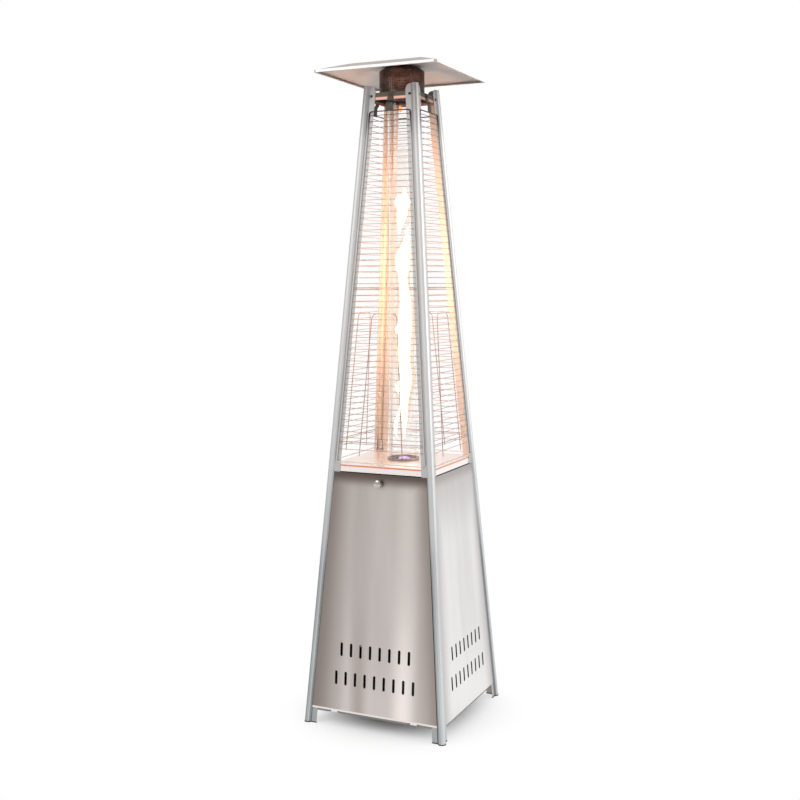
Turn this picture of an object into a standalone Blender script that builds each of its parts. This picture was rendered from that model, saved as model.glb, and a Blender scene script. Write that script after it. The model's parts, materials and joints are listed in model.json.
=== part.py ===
"""Pyramid patio heater: four leaning posts, a cabinet below, a flame tube behind wire guards above.

Metres, +Z up, the front faces -Y, and the origin is on the floor under the middle of the base.
The four sides are alike, so a piece of a side is modelled on the front and turned about Z.
"""
import math

import bmesh
import bpy
from mathutils import Matrix, Vector

# Clearances
CLEARANCE = 0.0003
PIN_PLAY = 0.0003
PUSH_PLAY = 0.0006
CUT_OVERRUN = 0.004
WELD_DEPTH = 0.0004
SEAM_WELD_SHARE = 0.01

# Frame: each post leans in along the pyramid's edge
POST_HEIGHT = 2.183
FLOOR_SPREAD = 0.2529
TOP_SPREAD = 0.0864
SEAM_HEIGHT = 0.880
SEAM_GAP = 0.0004
NOSE_RADIUS = 0.0133
POST_SHEET = 0.0015
FLANGE_REACH = 0.033
FLANGE_FACE = 0.0045
FLANGE_TOP_REACH = 0.0135
FLANGE_TOP_ROUND = 0.022
NOSE_STEPS = 8
ROUND_STEPS = 5
SCREW_HEAD_RADIUS = 0.0042
SCREW_HEAD_HEIGHT = 0.0022
SCREW_SHANK_RADIUS = 0.002
SCREW_LENGTH = 0.009
SCREW_FROM_NOSE = 0.0185
SCREW_FROM_PLATE_TOP = 0.011
SLEEVE_LENGTH = 0.12
PLUG_GAP = 0.001
PLUG_SEGMENTS = 8
FOOT_THICKNESS = 0.003
FOOT_RIM = 0.001
FOOT_PLUG_HEIGHT = 0.018

# Cabinet panels
PANEL_BOTTOM = 0.054
PANEL_TOP_GAP = 0.001
PANEL_SHEET = 0.0012
PANEL_SIDE_GAP = 0.0006
PANEL_LIP_DEPTH = 0.0085
SLOT_WIDTH = 0.007
SLOT_LENGTH = 0.045
SLOT_PITCH = 0.0363
SLOT_ROWS = ((9, 0.1164), (8, 0.216))
SLOT_END_STEPS = 4

# Pans: sheet plates with a skirt turned down behind the post flanges
PAN_SHEET = 0.0015
PLATE_CORNER_GAP = 0.0017
BOTTOM_PLATE_RISE = 0.0135
DECK_ABOVE_SEAM = 0.026
DECK_ABOVE_DOOR = 0.0027
DECK_CORNER_GAP = 0.0023
TOP_PLATE_DROP = 0.023
TOP_PLATE_SKIRT = 0.025

# Door
HINGE_BELOW_PANEL = 0.004
HINGE_ABOVE_SKIRT = 0.004
HINGE_BEHIND_PANEL = 0.0035
HINGE_KNUCKLE_RADIUS = 0.00275
HINGE_PIN_RADIUS = 0.0012
HINGE_FROM_MIDDLE = 0.15
DOOR_KNUCKLE_LENGTH = 0.024
FRAME_KNUCKLE_LENGTH = 0.008
HINGE_LEAF_HEIGHT = 0.016
FRAME_LEAF_RISE = 0.006
CURL_STEPS = 6
DOOR_KNOB_DOWN = 0.0314
DOOR_KNOB_RADIUS = 0.0145
DOOR_KNOB_LENGTH = 0.022
DOOR_KNOB_NECK_RADIUS = 0.0065
DOOR_KNOB_FOOT_RADIUS = 0.0095
DOOR_KNOB_FOOT_HEIGHT = 0.0025
DOOR_KNOB_NECK_SHARE = 0.36
DOOR_KNOB_HEAD_SHARES = ((0.85, 0.52), (1.0, 0.68), (0.93, 0.86), (0.55, 0.98))
DOOR_KNOB_STUD_RADIUS = 0.0025
DOOR_KNOB_NUT_RADIUS = 0.0055
DOOR_KNOB_NUT_HEIGHT = 0.004
CATCH_WIDTH = 0.04
CATCH_HEIGHT = 0.011
CATCH_DEPTH = 0.009
CATCH_STEM = 0.004
CATCH_SIDE = 0.07
CATCH_UNDER_LIP = 0.0015

# Flame tube and its seats
TUBE_RADIUS = 0.050
TUBE_WALL = 0.003
SEAT_FLOOR = 0.002
SEAT_HEIGHT = 0.008
SEAT_RIM = 0.0055
SEAT_LEDGE = 0.0018

# Burner, inside the tube's bore
BOWL_INSIDE_TUBE = 0.0025
BOWL_DEPTH = 0.055
BOWL_SHEET = 0.0012
BOWL_RIM = 0.010
BURNER_CAP_HEIGHT = 0.014
BURNER_BELOW_DECK = 0.012
BURNER_STEM_RADIUS = 0.011
BURNER_STEM_LENGTH = 0.090
BURNER_PORTS = 12
BURNER_PORT_WIDTH = 0.0025
BURNER_PORT_DEPTH = 0.006
PILOT_FROM_BOWL = 0.009
PILOT_FROM_BURNER = 0.0085
PILOT_RADIUS = 0.0035
PILOT_ABOVE_FLOOR = 0.034
PILOT_PLATE_WIDTH = 0.020
PILOT_PLATE_DEPTH = 0.009
PILOT_PLATE_SHEET = 0.0015
ELECTRODE_RADIUS = 0.0012
ELECTRODE_SPACING = 0.007
ELECTRODE_EXTRA = 0.008

# Control box under the deck, behind the door
BOX_BEHIND_BOWL = 0.0113
BOX_HALF_WIDTH = 0.105
BOX_BELOW_PIPE = 0.0118
BOX_SHEET = 0.0012
BOX_RIM = 0.010
CONTROLS_DROP = 0.0625
VALVE_SIDE = 0.045
VALVE_RADIUS = 0.017
VALVE_LENGTH = 0.045
VALVE_BORE_RADIUS = 0.0095
VALVE_BORE_DEPTH = 0.026
VALVE_BOSS_RADIUS = 0.0095
VALVE_BOSS_LENGTH = 0.008
VALVE_INLET_SETBACK = 0.032
STEM_RADIUS = 0.004
STEM_COLLAR_RADIUS = 0.0065
STEM_COLLAR_LENGTH = 0.0015
STEM_COLLAR_SETBACK = 0.004
PLUNGER_LENGTH = 0.004
STEM_TAIL = 0.004
KNOB_RADIUS = 0.021
KNOB_LENGTH = 0.019
KNOB_NOSE_SHARE = 0.9
KNOB_FACE_GAP = 0.006
KNOB_DOOR_GAP = 0.0075
KNOB_SOCKET_DEPTH = 0.012
KNOB_GRIP_WIDTH = 0.009
KNOB_GRIP_HEIGHT = 0.006
KNOB_SKIRT_HEIGHT = 0.006
IGNITER_SIDE = 0.050
IGNITER_BARREL_RADIUS = 0.011
IGNITER_BEZEL_RADIUS = 0.015
IGNITER_BEZEL_LENGTH = 0.003
IGNITER_LENGTH = 0.040
IGNITER_BORE_RADIUS = 0.0078
IGNITER_BORE_DEPTH = 0.026
BUTTON_RADIUS = 0.0072
BUTTON_PROUD = 0.0075
BUTTON_LENGTH = 0.021
BUTTON_EDGE = 0.001
INLET_HEX_RADIUS = 0.0105
INLET_HEX_LENGTH = 0.012
INLET_TAIL_RADIUS = 0.0060
INLET_LENGTH = 0.075
PIPE_RADIUS = 0.004
PIPE_DIP = 0.012
PIPE_RUN_OUT = 0.012
TILT_SIZE = (0.034, 0.024, 0.026)
TILT_FROM_SIDE = 0.039
TILT_BEHIND_MIDDLE = 0.022

# Wire guards
GUARD_ROD_RADIUS = 0.002
GUARD_WIRE_RADIUS = 0.00105
GUARD_STAY_RADIUS = 0.0015
GUARD_FROM_NOSE = 0.0180
GUARD_TOP_DROP = 0.086
GUARD_BOTTOM_RISE = 0.0085
GUARD_BEND = 0.010
WIRE_PITCH = 0.0201
WIRE_BELOW_ROD = 0.0132
WIRE_ABOVE_ROD = 0.035
STAY_BELOW_WIRE = 0.0142
STAY_SHARES = (0.5, 0.965)
STAY_SHY = 0.0001
LOOP_TOP_DROP_SHARE = 0.5725
LOOP_BOTTOM_DROP_SHARE = 0.981
LOOP_TOP_SHARE = 0.315
LOOP_BOTTOM_SHARE = 0.445
LOOP_BEND = 0.018

# Guard clips, on the top plate's skirt
CLIP_TOP_WIDTH = 0.014
CLIP_WIDTH = 0.027
CLIP_SHEET = 0.0012
CLIP_FLAT = 0.026
CLIP_STEP_DROP = 0.008
CLIP_BELOW_ROD = 0.0025
CLIP_BELOW_PLATE_TOP = 0.003
CLIP_SCREW_DROP = 0.0075

# Flame screen, with its studs, and the reflector
SCREEN_FROM_POSTS = 0.0094
SCREEN_WALL_HEIGHT = 0.078
SCREEN_CROWN_RISE = 0.0125
SCREEN_SHEET = 0.0012
SCREEN_SLOPE_SHARE = 0.7
SCREEN_FOOT_WIDTH = 0.011
SCREEN_WINDOW_ROWS = 3
SCREEN_WINDOW_WIDTH = 0.009
SCREEN_WINDOW_HEIGHT = 0.016
STUD_COUNT = 4
STUD_CIRCLE = 0.050
STUD_RADIUS = 0.003
STUD_COLLAR_RADIUS = 0.005
STUD_COLLAR_HEIGHT = 0.003
STUD_EDGE = 0.003
STUD_ABOVE_NUT = 0.0008
REFLECTOR_SIDE = 0.4446
REFLECTOR_FLAT = 0.264
REFLECTOR_RISE = 0.0278
REFLECTOR_HEM = 0.008
REFLECTOR_HEM_RETURN = 0.008
REFLECTOR_SHEET = 0.0012
REFLECTOR_CORNER = 0.011
REFLECTOR_FOLD_SHARE = 0.4
WING_HUB_RADIUS = 0.0058
WING_HUB_TOP_SHARE = 0.8
WING_HUB_HEIGHT = 0.0075
WING_SPAN = 0.030
WING_HEIGHT = 0.0135
WING_THICKNESS = 0.0022
WING_ROOT_SHARES = (0.15, 0.85)
WING_EDGE_SHARES = ((0.7, 0.17), (1.0, 0.6), (0.97, 1.0), (0.7, 0.95))

# Facets of the round forms
ROUND_SEGMENTS = 24
BODY_SEGMENTS = 20
BORE_SEGMENTS = 16
SHAFT_SEGMENTS = 12
BOLT_SEGMENTS = 8
HOLE_SEGMENTS = 6
HEXAGON_SIDES = 6
ROD_SIDES = 6
STAY_SIDES = 4
WIRE_SIDES = 3
BEND_STEPS = 3

# Worked out from the above
LEAN = (FLOOR_SPREAD - TOP_SPREAD) / POST_HEIGHT
PLUG_RADIUS = NOSE_RADIUS - POST_SHEET - PLUG_GAP
PANEL_TOP = SEAM_HEIGHT - PANEL_TOP_GAP
PANEL_BACK = FLANGE_FACE + CLEARANCE
PANEL_FRONT = PANEL_BACK + PANEL_SHEET
PANEL_EDGE = math.sqrt(NOSE_RADIUS ** 2 - PANEL_BACK ** 2) + PANEL_SIDE_GAP
HINGE_HEIGHT = PANEL_BOTTOM - HINGE_BELOW_PANEL
HINGE_OUT = PANEL_BACK - HINGE_BEHIND_PANEL
SKIRT_FACE = FLANGE_FACE - POST_SHEET - CLEARANCE
BOTTOM_PLATE_TOP = PANEL_BOTTOM + BOTTOM_PLATE_RISE
BOTTOM_PLATE_SKIRT = BOTTOM_PLATE_TOP - HINGE_HEIGHT + HINGE_ABOVE_SKIRT
BOTTOM_PLATE_CHAMFER = NOSE_RADIUS + PLATE_CORNER_GAP
DECK_TOP = SEAM_HEIGHT + DECK_ABOVE_SEAM
DECK_UNDERSIDE = DECK_TOP - PAN_SHEET
DECK_SKIRT = DECK_TOP - PANEL_TOP - DECK_ABOVE_DOOR
DECK_CHAMFER = SKIRT_FACE + math.sqrt(2) * (PLUG_RADIUS + DECK_CORNER_GAP)
TOP_PLATE_TOP = POST_HEIGHT - TOP_PLATE_DROP
TOP_PLATE_UNDERSIDE = TOP_PLATE_TOP - PAN_SHEET
TOP_PLATE_CHAMFER = NOSE_RADIUS + PLATE_CORNER_GAP
SEAT_OUTER = TUBE_RADIUS + SEAT_RIM
SEAT_INNER = TUBE_RADIUS - SEAT_LEDGE
BOWL_RADIUS = TUBE_RADIUS - BOWL_INSIDE_TUBE
BOWL_OUTER = BOWL_RADIUS + BOWL_SHEET
PILOT_FROM_MIDDLE = BOWL_RADIUS - PILOT_FROM_BOWL
BURNER_RADIUS = PILOT_FROM_MIDDLE - PILOT_FROM_BURNER
BURNER_TOP = DECK_TOP - BURNER_BELOW_DECK
PIPE_LOW = BURNER_TOP - BURNER_STEM_LENGTH - PIPE_DIP
CONTROLS_HEIGHT = DECK_UNDERSIDE - CONTROLS_DROP
BOX_TOP = DECK_UNDERSIDE - CLEARANCE
BOX_LOW = PIPE_LOW - BOX_BELOW_PIPE - PIPE_RADIUS
BOX_REAR = BOWL_OUTER + BOWL_RIM + BOX_BEHIND_BOWL
KNOB_REACH = KNOB_FACE_GAP + KNOB_LENGTH + KNOB_GRIP_HEIGHT + KNOB_DOOR_GAP
BOX_FRONT = FLOOR_SPREAD - LEAN * CONTROLS_HEIGHT + PANEL_BACK - KNOB_REACH
GUARD_OUT = FLANGE_FACE + CLEARANCE + GUARD_ROD_RADIUS
GUARD_TOP = POST_HEIGHT - GUARD_TOP_DROP
GUARD_BOTTOM = DECK_TOP + GUARD_BOTTOM_RISE
GUARD_HEIGHT = GUARD_TOP - GUARD_BOTTOM
WIRE_TOP = GUARD_TOP - WIRE_BELOW_ROD
WIRE_COUNT = int((WIRE_TOP - GUARD_BOTTOM - WIRE_ABOVE_ROD) / WIRE_PITCH) + 1
STAY_SET_BACK = GUARD_ROD_RADIUS - GUARD_STAY_RADIUS - STAY_SHY
CLIP_TOP = TOP_PLATE_TOP - CLIP_BELOW_PLATE_TOP
SCREEN_RADIUS = TOP_SPREAD - SCREEN_FROM_POSTS
SCREEN_CROWN_RADIUS = STUD_CIRCLE + STUD_COLLAR_RADIUS + STUD_EDGE
SCREEN_HEIGHT = SCREEN_WALL_HEIGHT + SCREEN_CROWN_RISE

QUARTERS = ("front_left", "front_right", "rear_right", "rear_left")
SIDES = ("front", "right", "rear", "left")

FINISHES = {
    "post": ((0.62, 0.64, 0.66), 0.38, 0.9),
    "panel": ((0.66, 0.62, 0.60), 0.32, 1.0),
    "plate": ((0.55, 0.55, 0.53), 0.45, 0.9),
    "rubber": ((0.03, 0.03, 0.03), 0.8, 0.0),
    "chrome": ((0.85, 0.85, 0.85), 0.1, 1.0),
    "wire": ((0.75, 0.75, 0.76), 0.25, 1.0),
    "dark": ((0.07, 0.06, 0.055), 0.5, 0.7),
    "glass": ((0.95, 0.96, 0.97), 0.03, 0.0),
    "brass": ((0.78, 0.57, 0.25), 0.3, 1.0),
    "black": ((0.02, 0.02, 0.02), 0.5, 0.0),
    "red": ((0.55, 0.05, 0.03), 0.4, 0.0),
}


def spread(z):
    """Distance of a nose's centre line from the middle plane, at a height."""
    return FLOOR_SPREAD - LEAN * z


def finish(name):
    """The material of this name, made once."""
    material = bpy.data.materials.get(name)
    if material is None:
        material = bpy.data.materials.new(name)
        material.use_nodes = True
        colour, roughness, metallic = FINISHES[name]
        shader = material.node_tree.nodes["Principled BSDF"]
        shader.inputs["Base Color"].default_value = (*colour, 1.0)
        shader.inputs["Roughness"].default_value = roughness
        shader.inputs["Metallic"].default_value = metallic
    return material


def clear_scene():
    """Remove what the scene starts with."""
    for thing in list(bpy.data.objects):
        bpy.data.objects.remove(thing, do_unlink=True)


def make(name, bm, material=None):
    """Turn a bmesh into an object with outward faces."""
    bmesh.ops.recalc_face_normals(bm, faces=bm.faces)
    mesh = bpy.data.meshes.new(name)
    bm.to_mesh(mesh)
    bm.free()
    thing = bpy.data.objects.new(name, mesh)
    bpy.context.scene.collection.objects.link(thing)
    if material:
        dress(thing, material)
    return thing


def dress(thing, material):
    """Give the object one material, named after its own piece."""
    own = finish(material).copy()
    own.name = thing.name + "_finish"
    thing.data.materials.clear()
    thing.data.materials.append(own)


def smooth(thing, degrees=35):
    """Shade round faces smooth and keep the edges sharp."""
    thing.data.shade_smooth()
    thing.data.set_sharp_from_angle(angle=math.radians(degrees))
    return thing


def combine(target, other, operation):
    """Fuse or cut the target with another object, which is used up."""
    modifier = target.modifiers.new(operation.lower(), 'BOOLEAN')
    modifier.operation = operation
    modifier.solver = 'EXACT'
    modifier.object = other
    bpy.context.view_layer.update()
    graph = bpy.context.evaluated_depsgraph_get()
    result = bpy.data.meshes.new_from_object(target.evaluated_get(graph))
    target.modifiers.remove(modifier)
    spare = target.data
    name = spare.name
    target.data = result
    bpy.data.meshes.remove(spare)
    result.name = name
    bpy.data.objects.remove(other, do_unlink=True)
    return target


def fuse(target, *others):
    """Weld the others onto the target."""
    for other in others:
        combine(target, other, 'UNION')
    return target


def cut(target, *others):
    """Take the others out of the target."""
    for other in others:
        combine(target, other, 'DIFFERENCE')
    return target


def move(thing, matrix):
    """Place the mesh itself, so that the object stays at the world's origin."""
    thing.data.transform(matrix)
    thing.data.update()
    return thing


def set_origin(thing, place):
    """Put the object's origin on a joint's axis."""
    thing.data.transform(Matrix.Translation(-Vector(place)))
    thing.location = place


def quarter_turn(count):
    """A turn about Z by quarters, from the front towards the right."""
    return Matrix.Rotation(count * math.pi / 2, 4, 'Z')


def face_lean():
    """From upright (u, -out, z) to the front's leaning face."""
    return Matrix(((1, 0, 0, 0), (0, 1, LEAN, -FLOOR_SPREAD), (0, 0, 1, 0), (0, 0, 0, 1)))


def corner_lean():
    """From upright, about the nose's centre, to the front left corner's leaning edge."""
    return Matrix(((1, 0, LEAN, -FLOOR_SPREAD), (0, 1, LEAN, -FLOOR_SPREAD), (0, 0, 1, 0), (0, 0, 0, 1)))


def slab(name, loops, start, end, axis='Y'):
    """A plate with the loops' outline and holes, from start to end along an axis."""
    bm = bmesh.new()
    edges = []
    for loop in loops:
        if axis == 'Y':
            points = [bm.verts.new((a, start, b)) for a, b in loop]
        elif axis == 'X':
            points = [bm.verts.new((start, a, b)) for a, b in loop]
        else:
            points = [bm.verts.new((a, b, start)) for a, b in loop]
        edges += [bm.edges.new((points[i - 1], points[i])) for i in range(len(points))]
    bmesh.ops.triangle_fill(bm, use_beauty=True, use_dissolve=False, edges=edges)
    grown = bmesh.ops.extrude_face_region(bm, geom=bm.faces[:])
    shift = {'X': (end - start, 0, 0), 'Y': (0, end - start, 0), 'Z': (0, 0, end - start)}[axis]
    moved = [item for item in grown["geom"] if isinstance(item, bmesh.types.BMVert)]
    bmesh.ops.translate(bm, vec=shift, verts=moved)
    return make(name, bm)


def loft(name, rings, closed=False):
    """Skin through rings of points, capped at both ends or closed on itself."""
    bm = bmesh.new()
    rows = [[bm.verts.new(point) for point in ring] for ring in rings]
    count = len(rows[0])
    spans = len(rows) if closed else len(rows) - 1
    for row in range(spans):
        here, there = rows[row], rows[(row + 1) % len(rows)]
        for i in range(count):
            bm.faces.new((here[i - 1], here[i], there[i], there[i - 1]))
    if not closed:
        ends = [bm.faces.new(rows[0]), bm.faces.new(rows[-1])]
        bmesh.ops.triangulate(bm, faces=ends)
    return make(name, bm)


def turned(name, profile, segments=ROUND_SEGMENTS):
    """Spin a closed outline of (radius, height) points about Z."""
    bm = bmesh.new()
    rows = []
    for step in range(segments):
        angle = math.tau * step / segments
        rows.append([(radius, angle, height) for radius, height in profile])
    poles = {}
    grid = []
    for row in rows:
        line = []
        for index, (radius, angle, height) in enumerate(row):
            if radius == 0:
                if index not in poles:
                    poles[index] = bm.verts.new((0, 0, height))
                line.append(poles[index])
            else:
                line.append(bm.verts.new((radius * math.cos(angle), radius * math.sin(angle), height)))
        grid.append(line)
    for step in range(segments):
        here, there = grid[step - 1], grid[step]
        for i in range(len(profile)):
            corners = []
            for vert in (here[i - 1], here[i], there[i], there[i - 1]):
                if vert not in corners:
                    corners.append(vert)
            if len(corners) > 2:
                bm.faces.new(corners)
    return make(name, bm)


def disc(name, radius, start, end, segments=ROUND_SEGMENTS):
    """An upright cylinder between two heights."""
    return turned(name, ((0, start), (radius, start), (radius, end), (0, end)), segments)


def rod_along(name, radius, start, end, segments=SHAFT_SEGMENTS):
    """A straight rod between two points."""
    start, end = Vector(start), Vector(end)
    thing = disc(name, radius, 0, (end - start).length, segments)
    aim = (end - start).to_track_quat('Z', 'Y').to_matrix().to_4x4()
    return move(thing, Matrix.Translation(start) @ aim)


def block(name, low, high):
    """A box between two corners."""
    loop = ((low[0], low[2]), (high[0], low[2]), (high[0], high[2]), (low[0], high[2]))
    return slab(name, (loop,), low[1], high[1])


def wire(name, points, radius, resolution=1):
    """A round wire along points, from a bevelled curve."""
    curve = bpy.data.curves.new(name, 'CURVE')
    curve.dimensions = '3D'
    curve.bevel_depth = radius
    curve.bevel_resolution = resolution
    curve.use_fill_caps = True
    spline = curve.splines.new('POLY')
    spline.points.add(len(points) - 1)
    for target, point in zip(spline.points, points):
        target.co = (*point, 1.0)
    holder = bpy.data.objects.new(name, curve)
    bpy.context.scene.collection.objects.link(holder)
    bpy.context.view_layer.update()
    graph = bpy.context.evaluated_depsgraph_get()
    mesh = bpy.data.meshes.new_from_object(holder.evaluated_get(graph))
    bpy.data.objects.remove(holder, do_unlink=True)
    bpy.data.curves.remove(curve)
    bm = bmesh.new()
    bm.from_mesh(mesh)
    bpy.data.meshes.remove(mesh)
    bmesh.ops.remove_doubles(bm, verts=bm.verts, dist=radius * SEAM_WELD_SHARE)
    return make(name, bm)


def rounded(points, radius, steps, closed=True):
    """Round the corners of a path of 3D points with arcs."""
    points = [Vector(point) for point in points]
    result = []
    for i, point in enumerate(points):
        if not closed and i in (0, len(points) - 1):
            result.append(point)
            continue
        before = (points[i - 1] - point).normalized()
        after = (points[(i + 1) % len(points)] - point).normalized()
        opening = before.angle(after)
        reach = radius / math.tan(opening / 2)
        centre = point + (before + after).normalized() * radius / math.sin(opening / 2)
        start = point + before * reach - centre
        turn = math.pi - opening
        axis = start.cross(point + after * reach - centre)
        for step in range(steps + 1):
            spin = Matrix.Rotation(turn * step / steps, 3, axis)
            result.append(centre + spin @ start)
    return result


def post_section(z):
    """The rolled sheet's outline at a height: a round nose between two flanges."""
    outer_turn = math.asin(FLANGE_FACE / NOSE_RADIUS)
    inner_face = FLANGE_FACE - POST_SHEET
    inner_radius = NOSE_RADIUS - POST_SHEET
    inner_turn = math.asin(inner_face / inner_radius)
    points = [(FLANGE_REACH, -FLANGE_FACE)]
    points += arc(NOSE_RADIUS, -outer_turn, outer_turn - 3 * math.pi / 2, NOSE_STEPS)
    points += [(-FLANGE_FACE, FLANGE_REACH), (-inner_face, FLANGE_REACH)]
    points += arc(inner_radius, inner_turn - 3 * math.pi / 2, -inner_turn, NOSE_STEPS)
    points += [(FLANGE_REACH, -inner_face)]
    return [(a, b, z) for a, b in points]


def arc(radius, start, end, steps):
    """Points on a circle about the origin, both ends included."""
    turns = [start + (end - start) * step / steps for step in range(steps + 1)]
    return [(radius * math.cos(turn), radius * math.sin(turn)) for turn in turns]


def screw(name, place, length):
    """A pan head screw driven towards +Y, with its seat at the place and its shank behind that."""
    place = Vector(place)
    sunk = Vector((0, WELD_DEPTH, 0))
    crown = place - Vector((0, SCREW_HEAD_HEIGHT, 0))
    tip = place + Vector((0, length, 0))
    head = rod_along(name, SCREW_HEAD_RADIUS, place + sunk, crown, BOLT_SEGMENTS)
    shank = rod_along(name + "_shank", SCREW_SHANK_RADIUS, place + sunk / 2, tip, HOLE_SEGMENTS)
    return fuse(head, shank)


def flange_screw():
    """The screw through a post's front flange into the top plate's skirt."""
    return screw("screw", (SCREW_FROM_NOSE, -FLANGE_FACE, TOP_PLATE_TOP - SCREW_FROM_PLATE_TOP), SCREW_LENGTH)


def flange_corner():
    """What the rounded top corner leaves off the front flange."""
    low, high = POST_HEIGHT - FLANGE_TOP_ROUND, POST_HEIGHT + CUT_OVERRUN
    far = FLANGE_REACH + CUT_OVERRUN
    width = FLANGE_REACH - FLANGE_TOP_REACH
    outline = [(FLANGE_TOP_REACH + width * across, low + FLANGE_TOP_ROUND * up)
               for across, up in arc(1, 0, math.pi / 2, ROUND_STEPS)]
    outline += [(FLANGE_TOP_REACH, high), (far, high), (far, low)]
    return slab("corner", (outline,), -FLANGE_FACE - CUT_OVERRUN, -FLANGE_FACE + POST_SHEET + CUT_OVERRUN)


def both_flanges(piece):
    """A piece made for the front flange, and its mirror image for the other flange."""
    front, side = piece(), piece()
    swap = Matrix(((0, 1, 0, 0), (1, 0, 0, 0), (0, 0, 1, 0), (0, 0, 0, 1)))
    move(side, swap)
    side.data.flip_normals()
    return front, side


def build_posts():
    """Lower and upper posts, their joining sleeves and the feet."""
    lower_ends = (FOOT_THICKNESS + CLEARANCE, SEAM_HEIGHT - SEAM_GAP / 2)
    upper_ends = (SEAM_HEIGHT + SEAM_GAP / 2, POST_HEIGHT)
    for count, corner in enumerate(QUARTERS):
        place = quarter_turn(count) @ corner_lean()
        lower = loft("lower_post_" + corner, [post_section(z) for z in lower_ends])
        upper = loft("upper_post_" + corner, [post_section(z) for z in upper_ends])
        cut(upper, *both_flanges(flange_corner))
        fuse(upper, *both_flanges(flange_screw))
        for post in (lower, upper):
            move(post, place)
            dress(post, "post")
            smooth(post)
        sleeve = disc("post_sleeve_" + corner, PLUG_RADIUS, SEAM_HEIGHT - SLEEVE_LENGTH / 2,
                      SEAM_HEIGHT + SLEEVE_LENGTH / 2, PLUG_SEGMENTS)
        dress(move(sleeve, place), "plate")
        smooth(sleeve)
        foot = foot_cap("foot_cap_" + corner)
        dress(move(foot, place), "rubber")


def foot_cap(name):
    """A plastic foot under a post, with a plug inside the nose."""
    rim_radius = NOSE_RADIUS + FOOT_RIM
    face = FLANGE_FACE + FOOT_RIM
    inside = -FLANGE_FACE + POST_SHEET + FOOT_RIM
    tip = FLANGE_REACH + FOOT_RIM
    turn = math.asin(face / rim_radius)
    outline = [(tip, -face)] + arc(rim_radius, -turn, turn - 3 * math.pi / 2, NOSE_STEPS)
    outline += [(-face, tip), (inside, tip), (inside, NOSE_RADIUS), (NOSE_RADIUS, inside), (tip, inside)]
    pad = slab(name, (outline,), 0, FOOT_THICKNESS, axis='Z')
    plug_top = FOOT_THICKNESS + FOOT_PLUG_HEIGHT
    plug = disc("plug", PLUG_RADIUS, FOOT_THICKNESS - WELD_DEPTH, plug_top, PLUG_SEGMENTS)
    return fuse(pad, plug)


def slot_outline(across, height):
    """An upright slot with round ends, centred on a point."""
    radius = SLOT_WIDTH / 2
    straight = (SLOT_LENGTH - SLOT_WIDTH) / 2
    top = arc(radius, 0, math.pi, SLOT_END_STEPS)
    upper = [(across + a, height + straight + b) for a, b in top]
    lower = [(across - a, height - straight - b) for a, b in top]
    return upper + lower


def panel_sheet(name):
    """A cabinet side: a tapered sheet with two rows of slots and a lip along its top."""
    bottom_half = spread(PANEL_BOTTOM) - PANEL_EDGE
    top_half = spread(PANEL_TOP) - PANEL_EDGE
    loops = [[(-bottom_half, PANEL_BOTTOM), (bottom_half, PANEL_BOTTOM),
              (top_half, PANEL_TOP), (-top_half, PANEL_TOP)]]
    for count, rise in SLOT_ROWS:
        for index in range(count):
            across = (index - (count - 1) / 2) * SLOT_PITCH
            loops.append(slot_outline(across, PANEL_BOTTOM + rise))
    sheet = slab(name, loops, -PANEL_FRONT, -PANEL_BACK)
    lip_half = spread(PANEL_TOP) - FLANGE_REACH - 2 * PANEL_SIDE_GAP
    lip = block("lip", (-lip_half, -PANEL_BACK - PANEL_SHEET / 2, PANEL_TOP - PANEL_SHEET),
                (lip_half, -PANEL_BACK + PANEL_LIP_DEPTH, PANEL_TOP))
    return fuse(sheet, lip)


def hinge_places():
    """Name and middle of each hinge."""
    return (("left", -HINGE_FROM_MIDDLE), ("right", HINGE_FROM_MIDDLE))


def about_hinge(points):
    """Points about the hinge's axis, in the upright face space."""
    return [(a - HINGE_OUT, b + HINGE_HEIGHT) for a, b in points]


def pin_bore():
    """Outline of the hinge pin's bore."""
    return about_hinge(arc(HINGE_PIN_RADIUS + PIN_PLAY, 0, math.tau, HOLE_SEGMENTS)[1:])


def build_panels():
    """Three fixed panels, and the front one as a door on two hinges."""
    for count, side in enumerate(SIDES):
        panel = panel_sheet(side + "_panel")
        if side == "front":
            add_door_leaves(panel)
            cut(panel, knob_hole())
        dress(move(panel, quarter_turn(count) @ face_lean()), "panel")
        if side == "front":
            smooth(panel)
            set_origin(panel, (0, -spread(HINGE_HEIGHT) - HINGE_OUT, HINGE_HEIGHT))


def add_door_leaves(panel):
    """The hinges' moving halves: a leaf behind the sheet, curled round the pin below it."""
    outer, inner = -PANEL_BACK - PANEL_SHEET / 2, -PANEL_BACK + PANEL_SHEET
    leaf_top = HINGE_HEIGHT + HINGE_LEAF_HEIGHT
    curl = about_hinge(arc(HINGE_KNUCKLE_RADIUS, math.pi / 2, -math.pi, CURL_STEPS))
    outline = [(outer, leaf_top), (inner, leaf_top), (inner, HINGE_HEIGHT + HINGE_KNUCKLE_RADIUS)]
    outline += curl + [(outer, HINGE_HEIGHT)]
    for _, middle in hinge_places():
        fuse(panel, slab("leaf", (outline, pin_bore()), middle - DOOR_KNUCKLE_LENGTH / 2,
                         middle + DOOR_KNUCKLE_LENGTH / 2, axis='X'))


def knob_middle():
    """Height of the door knob."""
    return PANEL_TOP - DOOR_KNOB_DOWN


def knob_hole():
    """The hole for the knob's stud."""
    radius = DOOR_KNOB_STUD_RADIUS + PIN_PLAY
    height = knob_middle()
    return rod_along("hole", radius, (0, -PANEL_FRONT - CUT_OVERRUN, height),
                     (0, -PANEL_BACK + CUT_OVERRUN, height))


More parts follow.
